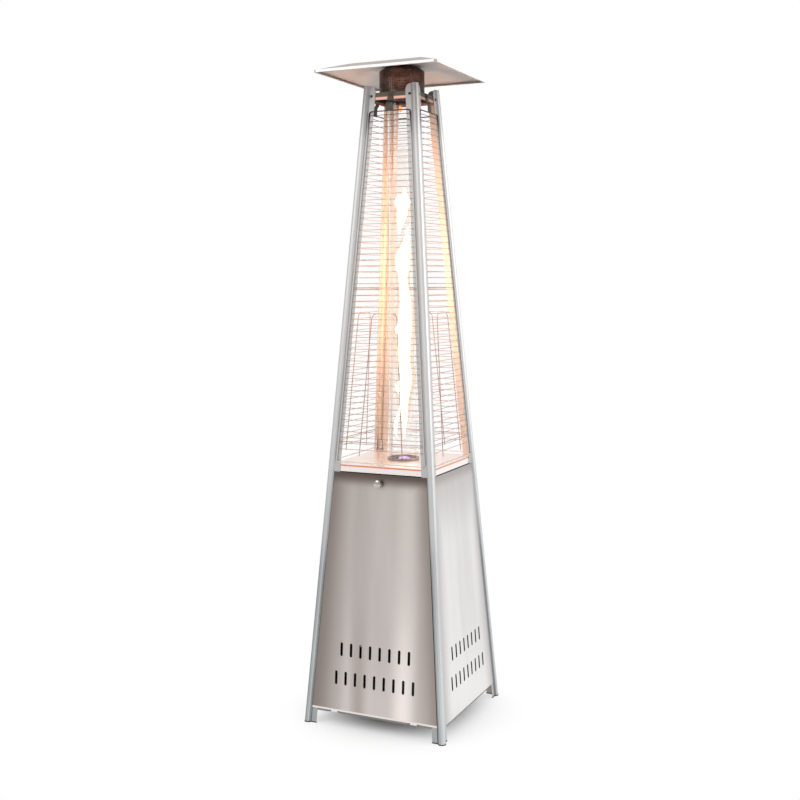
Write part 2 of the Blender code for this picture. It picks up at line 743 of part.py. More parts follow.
def build_door_knob():
    """A mushroom knob whose stud and nut hold it on the door."""
    foot = CLEARANCE
    crown = DOOR_KNOB_LENGTH
    back = -PANEL_SHEET - CLEARANCE
    nut_end = back - DOOR_KNOB_NUT_HEIGHT
    profile = [(0, crown), (0, nut_end), (DOOR_KNOB_NUT_RADIUS, nut_end), (DOOR_KNOB_NUT_RADIUS, back),
               (DOOR_KNOB_STUD_RADIUS, back), (DOOR_KNOB_STUD_RADIUS, foot), (DOOR_KNOB_FOOT_RADIUS, foot),
               (DOOR_KNOB_FOOT_RADIUS, foot + DOOR_KNOB_FOOT_HEIGHT),
               (DOOR_KNOB_NECK_RADIUS, crown * DOOR_KNOB_NECK_SHARE)]
    profile += [(DOOR_KNOB_RADIUS * wide, crown * high) for wide, high in DOOR_KNOB_HEAD_SHARES]
    knob = turned("door_knob", profile, BORE_SEGMENTS)
    out = Vector((0, -1, LEAN)).normalized()
    height = knob_middle()
    place = Vector((0, -spread(height) - PANEL_FRONT, height))
    aim = out.to_track_quat('Z', 'Y').to_matrix().to_4x4()
    dress(move(knob, Matrix.Translation(place) @ aim), "chrome")
    smooth(knob)
    set_origin(knob, place)


def build_catch():
    """A magnetic catch that hangs from the deck and meets the door behind its lip."""
    top = DECK_UNDERSIDE - CLEARANCE
    lip_bottom = PANEL_TOP - PANEL_SHEET
    head_top = lip_bottom - CATCH_UNDER_LIP
    half = CATCH_WIDTH / 2
    front = -PANEL_BACK + CLEARANCE
    inner = -PANEL_BACK + PANEL_LIP_DEPTH + CATCH_UNDER_LIP
    left, right = CATCH_SIDE - half, CATCH_SIDE + half
    head = block("door_catch", (left, front, head_top - CATCH_HEIGHT), (right, inner + CATCH_STEM, head_top))
    stem = block("stem", (left, inner, head_top - CATCH_HEIGHT / 2), (right, inner + CATCH_STEM, top))
    foot = block("foot", (left, inner + CATCH_STEM / 2, top - BOX_SHEET), (right, inner + CATCH_DEPTH, top))
    fuse(head, stem, foot)
    dress(move(head, face_lean()), "black")


def octagon(z, out, chamfer):
    """A pan's outline at a height: a square whose corners are cut clear of the posts."""
    points = []
    for count in range(len(SIDES)):
        turn = quarter_turn(count)
        for along in (-1, 1):
            points.append(turn @ Vector((along * (spread(z) - chamfer), -spread(z) - out, z)))
    return points


def pan(name, top, skirt, chamfer):
    """A plate with a skirt turned down all round, open below."""
    low = top - skirt
    inner = SKIRT_FACE - PAN_SHEET
    inner_chamfer = chamfer + PAN_SHEET * (math.sqrt(2) - 1)
    outer = loft(name, (octagon(low, SKIRT_FACE, chamfer), octagon(top, SKIRT_FACE, chamfer)))
    hollow = loft("hollow", (octagon(low - CUT_OVERRUN, inner, inner_chamfer),
                             octagon(top - PAN_SHEET, inner, inner_chamfer)))
    return cut(outer, hollow)


def screw_holes(top):
    """Cutters for the post screws in a pan's skirt."""
    height = top - SCREW_FROM_PLATE_TOP
    across = spread(height) - SCREW_FROM_NOSE
    cutters = []
    for count in range(len(SIDES)):
        for side in (-1, 1):
            hole = rod_along("hole", SCREW_SHANK_RADIUS + PIN_PLAY,
                             (side * across, -spread(height) - SKIRT_FACE - CUT_OVERRUN, height),
                             (side * across, -spread(height) + CUT_OVERRUN, height), HOLE_SEGMENTS)
            cutters.append(move(hole, quarter_turn(count)))
    return cutters


def build_bottom_plate():
    """The plate that the gas bottle stands on, whose front skirt carries the fixed halves of the hinges."""
    plate = pan("bottom_plate", BOTTOM_PLATE_TOP, BOTTOM_PLATE_SKIRT, BOTTOM_PLATE_CHAMFER)
    low = BOTTOM_PLATE_TOP - BOTTOM_PLATE_SKIRT - CUT_OVERRUN
    window_top = HINGE_HEIGHT + HINGE_KNUCKLE_RADIUS + PUSH_PLAY
    near = DOOR_KNUCKLE_LENGTH / 2 + PUSH_PLAY
    reach = near + FRAME_KNUCKLE_LENGTH
    for side, middle in hinge_places():
        window = block("window", (middle - reach - PUSH_PLAY, -SKIRT_FACE - CUT_OVERRUN, low),
                       (middle + reach + PUSH_PLAY, -HINGE_OUT + CUT_OVERRUN, window_top))
        cut(plate, move(window, face_lean()))
        for start, end in ((middle - reach, middle - near), (middle + near, middle + reach)):
            fuse(plate, move(fixed_knuckle(start, end, window_top + FRAME_LEAF_RISE), face_lean()))
        pin = rod_along("hinge_pin_" + side, HINGE_PIN_RADIUS, hinge_point(middle - reach),
                        hinge_point(middle + reach), HOLE_SEGMENTS)
        dress(pin, "chrome")
        smooth(pin)
    dress(plate, "plate")


def fixed_knuckle(start, end, leaf_top):
    """A knuckle that hangs from a leaf in the plate's skirt, with the pin's bore through it."""
    half = PAN_SHEET / 2
    rest = math.asin(half / HINGE_KNUCKLE_RADIUS)
    curl = arc(HINGE_KNUCKLE_RADIUS, math.pi / 2 - rest, rest - 3 * math.pi / 2, BOLT_SEGMENTS)
    outline = [(-HINGE_OUT - half, leaf_top), (-HINGE_OUT + half, leaf_top)] + about_hinge(curl)
    return slab("knuckle", (outline, pin_bore()), start, end, axis='X')


def hinge_point(across):
    """A point of the door hinge's axis."""
    return (across, -spread(HINGE_HEIGHT) - HINGE_OUT, HINGE_HEIGHT)


def build_deck():
    """The burner deck, whose skirt is the bright apron above the door."""
    deck = pan("burner_deck", DECK_TOP, DECK_SKIRT, DECK_CHAMFER)
    cut(deck, disc("hole", BOWL_RADIUS, DECK_UNDERSIDE - CUT_OVERRUN, DECK_TOP + CUT_OVERRUN))
    dress(deck, "plate")


def build_top_plate():
    """The plate that ties the posts at the top, open over the flame tube."""
    plate = pan("top_plate", TOP_PLATE_TOP, TOP_PLATE_SKIRT, TOP_PLATE_CHAMFER)
    cut(plate, disc("hole", SEAT_INNER, TOP_PLATE_UNDERSIDE - CUT_OVERRUN, TOP_PLATE_TOP + CUT_OVERRUN))
    cut(plate, *screw_holes(TOP_PLATE_TOP))
    for count in range(len(SIDES)):
        height = CLIP_TOP - CLIP_SCREW_DROP
        face = -spread(height) - SKIRT_FACE
        hole = rod_along("hole", SCREW_SHANK_RADIUS + PIN_PLAY, (0, face - CUT_OVERRUN, height),
                         (0, face + CUT_OVERRUN, height), HOLE_SEGMENTS)
        cut(plate, move(hole, quarter_turn(count)))
    dress(plate, "plate")


def build_tube():
    """The glass flame tube, standing in one seat ring and capped by another."""
    outer, inner = SEAT_OUTER, SEAT_INNER
    groove = TUBE_RADIUS + CLEARANCE
    base = DECK_TOP + CLEARANCE
    top = TOP_PLATE_UNDERSIDE - CLEARANCE
    seat = turned("tube_seat_ring", [
        (inner, base), (outer, base), (outer, base + SEAT_HEIGHT), (groove, base + SEAT_HEIGHT),
        (groove, base + SEAT_FLOOR), (inner, base + SEAT_FLOOR)])
    cap = turned("tube_top_ring", [
        (inner, top), (outer, top), (outer, top - SEAT_HEIGHT), (groove, top - SEAT_HEIGHT),
        (groove, top - SEAT_FLOOR), (inner, top - SEAT_FLOOR)])
    low, high = base + SEAT_FLOOR + CLEARANCE, top - SEAT_FLOOR - CLEARANCE
    bore = TUBE_RADIUS - TUBE_WALL
    glass = turned("glass_tube", [(bore, low), (TUBE_RADIUS, low), (TUBE_RADIUS, high), (bore, high)])
    for thing, material in ((seat, "dark"), (cap, "dark"), (glass, "glass")):
        dress(thing, material)
        smooth(thing)


def build_burner():
    """A bowl under the deck's hole, the burner that stands in it, and the pilot beside that."""
    rim_top = BOX_TOP
    floor = rim_top - BOWL_DEPTH
    stem_hole = BURNER_STEM_RADIUS + CLEARANCE
    profile = [(BOWL_RADIUS, rim_top), (BOWL_OUTER + BOWL_RIM, rim_top),
               (BOWL_OUTER + BOWL_RIM, rim_top - BOWL_SHEET), (BOWL_OUTER, rim_top - BOWL_SHEET),
               (BOWL_OUTER, floor), (stem_hole, floor), (stem_hole, floor + BOWL_SHEET),
               (BOWL_RADIUS, floor + BOWL_SHEET)]
    bowl = turned("burner_bowl", profile)
    dress(bowl, "dark")
    smooth(bowl)
    top, stem_foot = BURNER_TOP, BURNER_TOP - BURNER_STEM_LENGTH
    under = top - BURNER_CAP_HEIGHT
    burner = turned("burner", [
        (0, top), (0, stem_foot), (BURNER_STEM_RADIUS, stem_foot),
        (BURNER_STEM_RADIUS, under - BURNER_STEM_RADIUS), (BURNER_RADIUS, under),
        (BURNER_RADIUS, top - BURNER_PORT_WIDTH), (BURNER_RADIUS - BURNER_PORT_WIDTH, top)])
    half = BURNER_PORT_WIDTH / 2
    for index in range(BURNER_PORTS):
        port = block("port", (BURNER_RADIUS - BURNER_PORT_DEPTH, -half, under + BURNER_PORT_WIDTH),
                     (BURNER_RADIUS + CUT_OVERRUN, half, top - 2 * BURNER_PORT_WIDTH))
        cut(burner, move(port, Matrix.Rotation(math.tau * (index + 0.5) / BURNER_PORTS, 4, 'Z')))
    dress(burner, "dark")
    build_pilot(floor + BOWL_SHEET + CLEARANCE)


def build_pilot(base):
    """Pilot hood, spark electrode and flame sensor on one small bracket."""
    half = PILOT_PLATE_WIDTH / 2
    reach = PILOT_FROM_MIDDLE
    plate = block("pilot_assembly", (-half, reach - PILOT_PLATE_DEPTH / 2, base),
                  (half, reach + PILOT_PLATE_DEPTH / 2, base + PILOT_PLATE_SHEET))
    hood_top = base + PILOT_ABOVE_FLOOR
    rooted = base + PILOT_PLATE_SHEET / 2
    hood = disc("hood", PILOT_RADIUS, rooted, hood_top, SHAFT_SEGMENTS)
    fuse(plate, move(hood, Matrix.Translation((0, reach, 0))))
    for side in (-1, 1):
        spark = disc("spark", ELECTRODE_RADIUS, rooted, hood_top + ELECTRODE_EXTRA, BOLT_SEGMENTS)
        fuse(plate, move(spark, Matrix.Translation((side * ELECTRODE_SPACING, reach, 0))))
    dress(plate, "brass")


def build_control_box():
    """An open topped box under the deck, with holes for the valve, the igniter and the gas inlet."""
    low, top = BOX_LOW, BOX_TOP
    front, rear = -BOX_FRONT, BOX_REAR
    box = block("control_box", (-BOX_HALF_WIDTH, front, low), (BOX_HALF_WIDTH, rear, top))
    for side in (-1, 1):
        edge = side * (BOX_HALF_WIDTH - BOX_SHEET / 2)
        far = side * (BOX_HALF_WIDTH + BOX_RIM)
        left, right = min(edge, far), max(edge, far)
        fuse(box, block("rim", (left, front, top - BOX_SHEET), (right, rear, top)))
    inside = BOX_HALF_WIDTH - BOX_SHEET
    cut(box, block("inside", (-inside, front + BOX_SHEET, low + BOX_SHEET),
                   (inside, rear - BOX_SHEET, top + CUT_OVERRUN)))
    stem_hole = (-VALVE_SIDE, STEM_RADIUS + PUSH_PLAY)
    igniter_hole = (IGNITER_SIDE, IGNITER_BARREL_RADIUS + PIN_PLAY)
    for across, radius in (stem_hole, igniter_hole):
        cut(box, rod_along("hole", radius, (across, front - CUT_OVERRUN, CONTROLS_HEIGHT),
                           (across, front + BOX_SHEET + CUT_OVERRUN, CONTROLS_HEIGHT), BORE_SEGMENTS))
    inlet = inlet_place()
    hole = disc("hole", INLET_TAIL_RADIUS + PIN_PLAY, low - CUT_OVERRUN, low + CUT_OVERRUN, SHAFT_SEGMENTS)
    cut(box, move(hole, Matrix.Translation((inlet[0], inlet[1], 0))))
    dress(box, "plate")
    tilt_low = low + BOX_SHEET + CLEARANCE
    wide, deep, tall = TILT_SIZE
    across = BOX_HALF_WIDTH - TILT_FROM_SIDE
    switch = block("tilt_switch", (across - wide / 2, TILT_BEHIND_MIDDLE - deep / 2, tilt_low),
                   (across + wide / 2, TILT_BEHIND_MIDDLE + deep / 2, tilt_low + tall))
    dress(switch, "black")


def valve_front():
    """Where the valve's face meets the back of the box's front."""
    return -BOX_FRONT + BOX_SHEET + CLEARANCE


def inlet_place():
    """Centre of the valve's inlet boss, seen from above."""
    return (-VALVE_SIDE, valve_front() + VALVE_INLET_SETBACK)


def build_valve():
    """The gas valve with its inlet fitting, plunger and stem, and the knob on the stem."""
    centre = Vector((-VALVE_SIDE, 0, CONTROLS_HEIGHT))
    front = valve_front()
    rear = front + VALVE_LENGTH

    def along(name, radius, start, end, segments=SHAFT_SEGMENTS):
        return rod_along(name, radius, (centre.x, start, centre.z), (centre.x, end, centre.z), segments)

    body = along("gas_valve", VALVE_RADIUS, front, rear, BODY_SEGMENTS)
    boss_low = CONTROLS_HEIGHT - VALVE_RADIUS - VALVE_BOSS_LENGTH
    inlet = inlet_place()
    boss = move(disc("boss", VALVE_BOSS_RADIUS, boss_low, CONTROLS_HEIGHT, SHAFT_SEGMENTS),
                Matrix.Translation((inlet[0], inlet[1], 0)))
    outlet = along("outlet", VALVE_BOSS_RADIUS, rear - VALVE_BOSS_LENGTH, rear + VALVE_BOSS_LENGTH)
    fuse(body, boss, outlet)
    cut(body, along("bore", VALVE_BORE_RADIUS, front - CUT_OVERRUN, front + VALVE_BORE_DEPTH, BORE_SEGMENTS))
    dress(body, "brass")
    smooth(body)

    fitting_top = boss_low - CLEARANCE
    hexagon_low = fitting_top - INLET_HEX_LENGTH
    fitting = disc("gas_inlet", INLET_HEX_RADIUS, hexagon_low, fitting_top, HEXAGON_SIDES)
    fuse(fitting, disc("tail", INLET_TAIL_RADIUS, fitting_top - INLET_LENGTH, hexagon_low + WELD_DEPTH,
                       SHAFT_SEGMENTS))
    dress(move(fitting, Matrix.Translation((inlet[0], inlet[1], 0))), "brass")

    collar = front + STEM_COLLAR_SETBACK
    collar_end = collar + STEM_COLLAR_LENGTH
    plunger_front = collar_end + CLEARANCE
    bore, rim = STEM_RADIUS + PIN_PLAY, VALVE_BORE_RADIUS - PIN_PLAY
    plunger = turned("valve_plunger", [(bore, 0), (rim, 0), (rim, PLUNGER_LENGTH), (bore, PLUNGER_LENGTH)],
                     BORE_SEGMENTS)
    inward = Matrix.Rotation(-math.pi / 2, 4, 'X')
    dress(move(plunger, Matrix.Translation((centre.x, plunger_front, centre.z)) @ inward), "chrome")
    smooth(plunger)
    set_origin(plunger, (centre.x, plunger_front, centre.z))

    knob_back = -BOX_FRONT - KNOB_FACE_GAP
    stem = along("valve_stem", STEM_RADIUS, knob_back - KNOB_SOCKET_DEPTH + CLEARANCE,
                 plunger_front + PLUNGER_LENGTH + STEM_TAIL)
    fuse(stem, along("collar", STEM_COLLAR_RADIUS, collar, collar_end))
    dress(stem, "chrome")
    smooth(stem)
    set_origin(stem, (centre.x, knob_back, centre.z))

    nose = KNOB_RADIUS * KNOB_NOSE_SHARE
    knob = turned("control_knob", [
        (0, KNOB_LENGTH), (0, 0), (KNOB_RADIUS, 0), (KNOB_RADIUS, KNOB_SKIRT_HEIGHT), (nose, KNOB_LENGTH)],
        BODY_SEGMENTS)
    grip = block("grip", (-KNOB_GRIP_WIDTH / 2, -nose, KNOB_LENGTH - WELD_DEPTH),
                 (KNOB_GRIP_WIDTH / 2, nose, KNOB_LENGTH + KNOB_GRIP_HEIGHT))
    fuse(knob, grip)
    cut(knob, disc("socket", bore, -CUT_OVERRUN, KNOB_SOCKET_DEPTH, SHAFT_SEGMENTS))
    outward = Matrix.Rotation(math.pi / 2, 4, 'X')
    dress(move(knob, Matrix.Translation((centre.x, knob_back, centre.z)) @ outward), "black")
    smooth(knob)
    set_origin(knob, (centre.x, knob_back, centre.z))
    build_pipe(rear + VALVE_BOSS_LENGTH + CLEARANCE)


def build_pipe(start):
    """The bent pipe from the valve's outlet round to the foot of the burner's stem."""
    turn = start + PIPE_RUN_OUT
    end = BURNER_TOP - BURNER_STEM_LENGTH - CLEARANCE
    route = [(-VALVE_SIDE, start, CONTROLS_HEIGHT), (-VALVE_SIDE, turn, CONTROLS_HEIGHT),
             (-VALVE_SIDE, turn, PIPE_LOW), (0, 0, PIPE_LOW), (0, 0, end)]
    route = rounded(route, PIPE_RADIUS * 2, BEND_STEPS, closed=False)
    pipe = wire("gas_pipe", route, PIPE_RADIUS, resolution=2)
    dress(pipe, "brass")
    smooth(pipe)


def build_igniter():
    """The spark igniter's body, clamped by its bezel, and its push button."""
    front = -BOX_FRONT - CLEARANCE
    centre = Vector((IGNITER_SIDE, front, CONTROLS_HEIGHT))
    outward = Matrix.Translation(centre) @ Matrix.Rotation(math.pi / 2, 4, 'X')
    mouth = IGNITER_BEZEL_LENGTH
    bottom, rear = mouth - IGNITER_BORE_DEPTH, -IGNITER_LENGTH
    body = turned("igniter_body", [
        (0, bottom), (0, rear), (IGNITER_BARREL_RADIUS, rear), (IGNITER_BARREL_RADIUS, 0),
        (IGNITER_BEZEL_RADIUS, 0), (IGNITER_BEZEL_RADIUS, mouth), (IGNITER_BORE_RADIUS, mouth),
        (IGNITER_BORE_RADIUS, bottom)], BODY_SEGMENTS)
    dress(move(body, outward), "black")
    smooth(body)
    tip = mouth + BUTTON_PROUD
    root = tip - BUTTON_LENGTH
    button = turned("igniter_button", [
        (0, tip), (0, root), (BUTTON_RADIUS, root), (BUTTON_RADIUS, tip - BUTTON_EDGE),
        (BUTTON_RADIUS - BUTTON_EDGE, tip)], BODY_SEGMENTS)
    dress(move(button, outward), "red")
    smooth(button)
    set_origin(button, centre)


def add_level_wire(bm, height, out, radius, sides):
    """A level wire from one side rod's middle to the other's."""
    rows = []
    turns = [math.pi / 2 + math.tau * index / sides for index in range(sides)]
    for side in (-1, 1):
        across = side * guard_half(height)
        rows.append([bm.verts.new((across, -out + radius * math.cos(turn), height + radius * math.sin(turn)))
                     for turn in turns])
    for i in range(sides):
        bm.faces.new((rows[0][i - 1], rows[0][i], rows[1][i], rows[1][i - 1]))
    bm.faces.new(rows[0])
    bm.faces.new(rows[1])


def bent_rod(name, path, radius, sides, closed=True):
    """A rod bent in an upright plane, with a flat of its section facing along the plane."""
    path = [Vector(point) for point in path]
    rings = []
    for i, point in enumerate(path):
        before = point - path[i - 1] if closed or i > 0 else path[1] - point
        after = path[(i + 1) % len(path)] - point if closed or i < len(path) - 1 else point - path[i - 1]
        along = (before.normalized() + after.normalized()).normalized()
        normal = Vector((-along.z, 0, along.x)) / math.cos(before.angle(after) / 2)
        turns = [math.tau * (index + 0.5) / sides for index in range(sides)]
        rings.append([point + normal * radius * math.cos(turn) + Vector((0, radius * math.sin(turn), 0))
                      for turn in turns])
    return loft(name, rings, closed)


def guard_half(z):
    """Half the distance between a guard's side rods, at a height."""
    return spread(z) - GUARD_FROM_NOSE


def guard(name):
    """A rod frame with close level wires across it, two stays, and an upright loop behind the wires."""
    top, bottom = GUARD_TOP, GUARD_BOTTOM
    corners = [(-guard_half(bottom), -GUARD_OUT, bottom), (guard_half(bottom), -GUARD_OUT, bottom),
               (guard_half(top), -GUARD_OUT, top), (-guard_half(top), -GUARD_OUT, top)]
    frame = bent_rod(name, rounded(corners, GUARD_BEND, BEND_STEPS), GUARD_ROD_RADIUS, ROD_SIDES)

    stays = bmesh.new()
    for share in STAY_SHARES:
        height = wire_height(round(share * (WIRE_COUNT - 1))) - STAY_BELOW_WIRE
        add_level_wire(stays, height, GUARD_OUT - STAY_SET_BACK, GUARD_STAY_RADIUS, STAY_SIDES)
    fuse(frame, make("stays", stays))

    wires = bmesh.new()
    for index in range(WIRE_COUNT):
        add_level_wire(wires, wire_height(index), GUARD_OUT, GUARD_WIRE_RADIUS, WIRE_SIDES)
    return fuse(frame, make("wires", wires), guard_loop())


def wire_height(index):
    """Height of a level wire, counted from the top."""
    return WIRE_TOP - index * WIRE_PITCH


def guard_loop():
    """The upright loop, welded to the stays behind the level wires."""
    out = GUARD_OUT - GUARD_WIRE_RADIUS - CLEARANCE - GUARD_STAY_RADIUS * math.cos(math.pi / STAY_SIDES)
    top = GUARD_TOP - GUARD_HEIGHT * LOOP_TOP_DROP_SHARE
    low = GUARD_TOP - GUARD_HEIGHT * LOOP_BOTTOM_DROP_SHARE
    wide_top, wide_low = spread(top) * LOOP_TOP_SHARE, spread(low) * LOOP_BOTTOM_SHARE
    legs = [(-wide_low, -out, low), (-wide_top, -out, top), (wide_top, -out, top), (wide_low, -out, low)]
    path = rounded(legs, LOOP_BEND, BEND_STEPS, closed=False)
    return bent_rod("loop", path, GUARD_STAY_RADIUS, STAY_SIDES, closed=False)


def build_guards():
    """The four wire guards, lying on the posts' flanges."""
    for count, side in enumerate(SIDES):
        thing = guard(side + "_guard")
        dress(move(thing, quarter_turn(count) @ face_lean()), "wire")
        smooth(thing)


def build_clips():
    """Bent clips on the top plate's skirt, each with a tab over a guard's top rod."""
    top = CLIP_TOP
    inner = SKIRT_FACE + CLEARANCE
    tab_inner = GUARD_OUT + GUARD_ROD_RADIUS + CLEARANCE
    bend = top - CLIP_FLAT
    low = bend - CLIP_STEP_DROP
    steps = ((inner, top, CLIP_TOP_WIDTH), (inner, bend, CLIP_WIDTH), (tab_inner, low, CLIP_WIDTH),
             (tab_inner, GUARD_TOP - CLIP_BELOW_ROD, CLIP_WIDTH))
    for count, side in enumerate(SIDES):
        rings = [[(-width / 2, -out, z), (width / 2, -out, z), (width / 2, -out - CLIP_SHEET, z),
                  (-width / 2, -out - CLIP_SHEET, z)] for out, z, width in steps]
        clip = loft("guard_clip_" + side, rings)
        height = top - CLIP_SCREW_DROP
        face = -inner - CLIP_SHEET
        fuse(clip, screw("screw", (0, face, height), SCREW_LENGTH))
        dress(move(clip, quarter_turn(count) @ face_lean()), "dark")


def stud_places():
    """Centres of the reflector's studs."""
    turns = [math.tau * index / STUD_COUNT for index in range(STUD_COUNT)]
    return [Vector((STUD_CIRCLE * math.cos(turn), STUD_CIRCLE * math.sin(turn), 0)) for turn in turns]


def screen_base():
    """Height of the flame screen's foot."""
    return TOP_PLATE_TOP + CLEARANCE


def reflector_underside():
    """Height at which the reflector's flat rests on the stud collars."""
    return screen_base() + SCREEN_HEIGHT + STUD_COLLAR_HEIGHT + CLEARANCE


def build_screen():
    """The round flame screen over the tube, closed above, with the studs that carry the reflector."""
    base = screen_base()
    crown = base + SCREEN_HEIGHT
    wall_top = base + SCREEN_WALL_HEIGHT
    inner = SCREEN_RADIUS - SCREEN_SHEET
    slope = SCREEN_SHEET * SCREEN_SLOPE_SHARE
    foot = SCREEN_RADIUS - SCREEN_FOOT_WIDTH
    screen = turned("flame_screen", [
        (0, crown), (0, crown - SCREEN_SHEET), (SCREEN_CROWN_RADIUS - slope, crown - SCREEN_SHEET),
        (inner, wall_top - slope), (inner, base + SCREEN_SHEET), (foot, base + SCREEN_SHEET), (foot, base),
        (SCREEN_RADIUS, base), (SCREEN_RADIUS, wall_top), (SCREEN_CROWN_RADIUS, crown)])
    cut(screen, *screen_windows(base))
    rooted, collar = crown - SCREEN_SHEET / 2, crown + STUD_COLLAR_HEIGHT
    tip = reflector_underside() + REFLECTOR_SHEET + CLEARANCE + WING_HUB_HEIGHT + STUD_ABOVE_NUT
    for place in stud_places():
        stud = turned("stud", [
            (0, tip), (0, rooted), (STUD_COLLAR_RADIUS, rooted), (STUD_COLLAR_RADIUS, collar),
            (STUD_RADIUS, collar), (STUD_RADIUS, tip)], BOLT_SEGMENTS)
        fuse(screen, move(stud, Matrix.Translation(place)))
    dress(screen, "dark")
    smooth(screen)


def screen_windows(base):
    """Cutters for the rows of windows round the screen's wall, one in each facet of a row."""
    cutters = []
    half = SCREEN_WINDOW_WIDTH / 2
    for row in range(SCREEN_WINDOW_ROWS):
        low = base + SCREEN_WALL_HEIGHT * (row + 0.5) / SCREEN_WINDOW_ROWS - SCREEN_WINDOW_HEIGHT / 2
        for index in range(ROUND_SEGMENTS):
            window = block("window", (SCREEN_RADIUS - SCREEN_SHEET - CUT_OVERRUN, -half, low),
                           (SCREEN_RADIUS + CUT_OVERRUN, half, low + SCREEN_WINDOW_HEIGHT))
            turn = Matrix.Rotation(math.tau * (index + 0.5) / ROUND_SEGMENTS, 4, 'Z')
            cutters.append(move(window, turn))
    return cutters


def rounded_square(half, corner, z):
    """A level square outline whose corners are rounded off."""
    points = []
    for count in range(len(SIDES)):
        for a, b in arc(corner, -math.pi, -math.pi / 2, BEND_STEPS - 1):
            points.append(quarter_turn(count) @ Vector((a - half + corner, b - half + corner, z)))
    return points


def build_reflector():
    """A folded square reflector: a flat, four shallow slopes, and a hem turned down and in."""
    under = reflector_underside()
    sheet = REFLECTOR_SHEET
    rim, flat = REFLECTOR_SIDE / 2, REFLECTOR_FLAT / 2
    rim_top = under + sheet - REFLECTOR_RISE
    low = rim_top - REFLECTOR_HEM
    inner = rim - sheet
    corner = REFLECTOR_CORNER
    fold = corner * REFLECTOR_FOLD_SHARE
    back = rim - REFLECTOR_HEM_RETURN
    rings = [rounded_square(flat, fold, under + sheet), rounded_square(rim, corner, rim_top),
             rounded_square(rim, corner, low), rounded_square(back, fold, low),
             rounded_square(back, fold, low + sheet), rounded_square(inner, corner - sheet, low + sheet),
             rounded_square(inner, corner - sheet, rim_top - sheet), rounded_square(flat, fold, under)]
    reflector = loft("reflector", rings)
    for place in stud_places():
        hole = disc("hole", STUD_RADIUS + PIN_PLAY, under - CUT_OVERRUN, under + CUT_OVERRUN, BOLT_SEGMENTS)
        cut(reflector, move(hole, Matrix.Translation(place)))
    dress(reflector, "panel")


def build_wing_nuts():
    """The wing nuts that hold the reflector down."""
    base = reflector_underside() + REFLECTOR_SHEET + CLEARANCE
    bore = STUD_RADIUS + PIN_PLAY
    profile = [(bore, 0), (WING_HUB_RADIUS, 0), (WING_HUB_RADIUS * WING_HUB_TOP_SHARE, WING_HUB_HEIGHT),
               (bore, WING_HUB_HEIGHT)]
    root_low, root_high = [WING_HUB_HEIGHT * share for share in WING_ROOT_SHARES]
    for index, place in enumerate(stud_places()):
        nut = turned("wing_nut_" + str(index + 1), profile, BOLT_SEGMENTS)
        for side in (-1, 1):
            root, tip = side * (bore + WING_HUB_RADIUS) / 2, side * WING_SPAN / 2
            edge = [(tip * along, WING_HEIGHT * high) for along, high in WING_EDGE_SHARES]
            outline = [(root, root_low)] + edge + [(root, root_high)]
            fuse(nut, slab("wing", (outline,), -WING_THICKNESS / 2, WING_THICKNESS / 2))
        turn = Matrix.Rotation(math.tau * index / STUD_COUNT + math.pi / 3, 4, 'Z')
        dress(move(nut, Matrix.Translation(place + Vector((0, 0, base))) @ turn), "chrome")
        smooth(nut)


def build_heater():
    """Every piece, from the floor up."""
    clear_scene()
    build_posts()
    build_bottom_plate()
    build_panels()
    build_door_knob()
    build_deck()
    build_catch()
    build_control_box()
    build_valve()
    build_igniter()
    build_burner()
    build_tube()
    build_top_plate()
    build_guards()
    build_clips()
    build_screen()
    build_reflector()
    build_wing_nuts()


build_heater()
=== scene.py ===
"""Looks of the pyramid patio heater: finishes, wire guards, glass, flame, lamps, floor and camera.

Metres, in the frame's own axes: +Z up, the door faces -Y.
"""
import json
import math

import bmesh
import bpy
from mathutils import Matrix, Vector


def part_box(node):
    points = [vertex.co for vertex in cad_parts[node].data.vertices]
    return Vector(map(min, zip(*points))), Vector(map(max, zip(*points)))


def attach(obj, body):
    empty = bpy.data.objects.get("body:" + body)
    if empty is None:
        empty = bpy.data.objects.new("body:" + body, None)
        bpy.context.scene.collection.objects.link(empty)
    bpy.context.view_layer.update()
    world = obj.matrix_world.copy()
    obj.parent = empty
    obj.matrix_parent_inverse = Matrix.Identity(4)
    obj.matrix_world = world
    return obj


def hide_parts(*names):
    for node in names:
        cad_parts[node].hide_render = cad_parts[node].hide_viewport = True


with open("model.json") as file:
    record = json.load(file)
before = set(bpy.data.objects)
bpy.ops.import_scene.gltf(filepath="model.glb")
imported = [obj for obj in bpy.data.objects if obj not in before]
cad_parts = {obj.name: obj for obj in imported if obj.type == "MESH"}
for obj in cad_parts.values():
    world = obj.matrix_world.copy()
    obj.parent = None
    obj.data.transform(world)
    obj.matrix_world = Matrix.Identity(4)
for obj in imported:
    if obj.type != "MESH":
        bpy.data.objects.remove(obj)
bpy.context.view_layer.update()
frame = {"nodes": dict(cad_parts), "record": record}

# Camera, fitted to the photograph
CAMERA_EYE = (1.68063, -3.65657, 1.52939)
CAMERA_FORWARD = (-0.41791, 0.90269, -0.10252)
CAMERA_ROLL = -0.0041
CAMERA_LENS_MM = 51.90
CAMERA_SENSOR_MM = 36.0

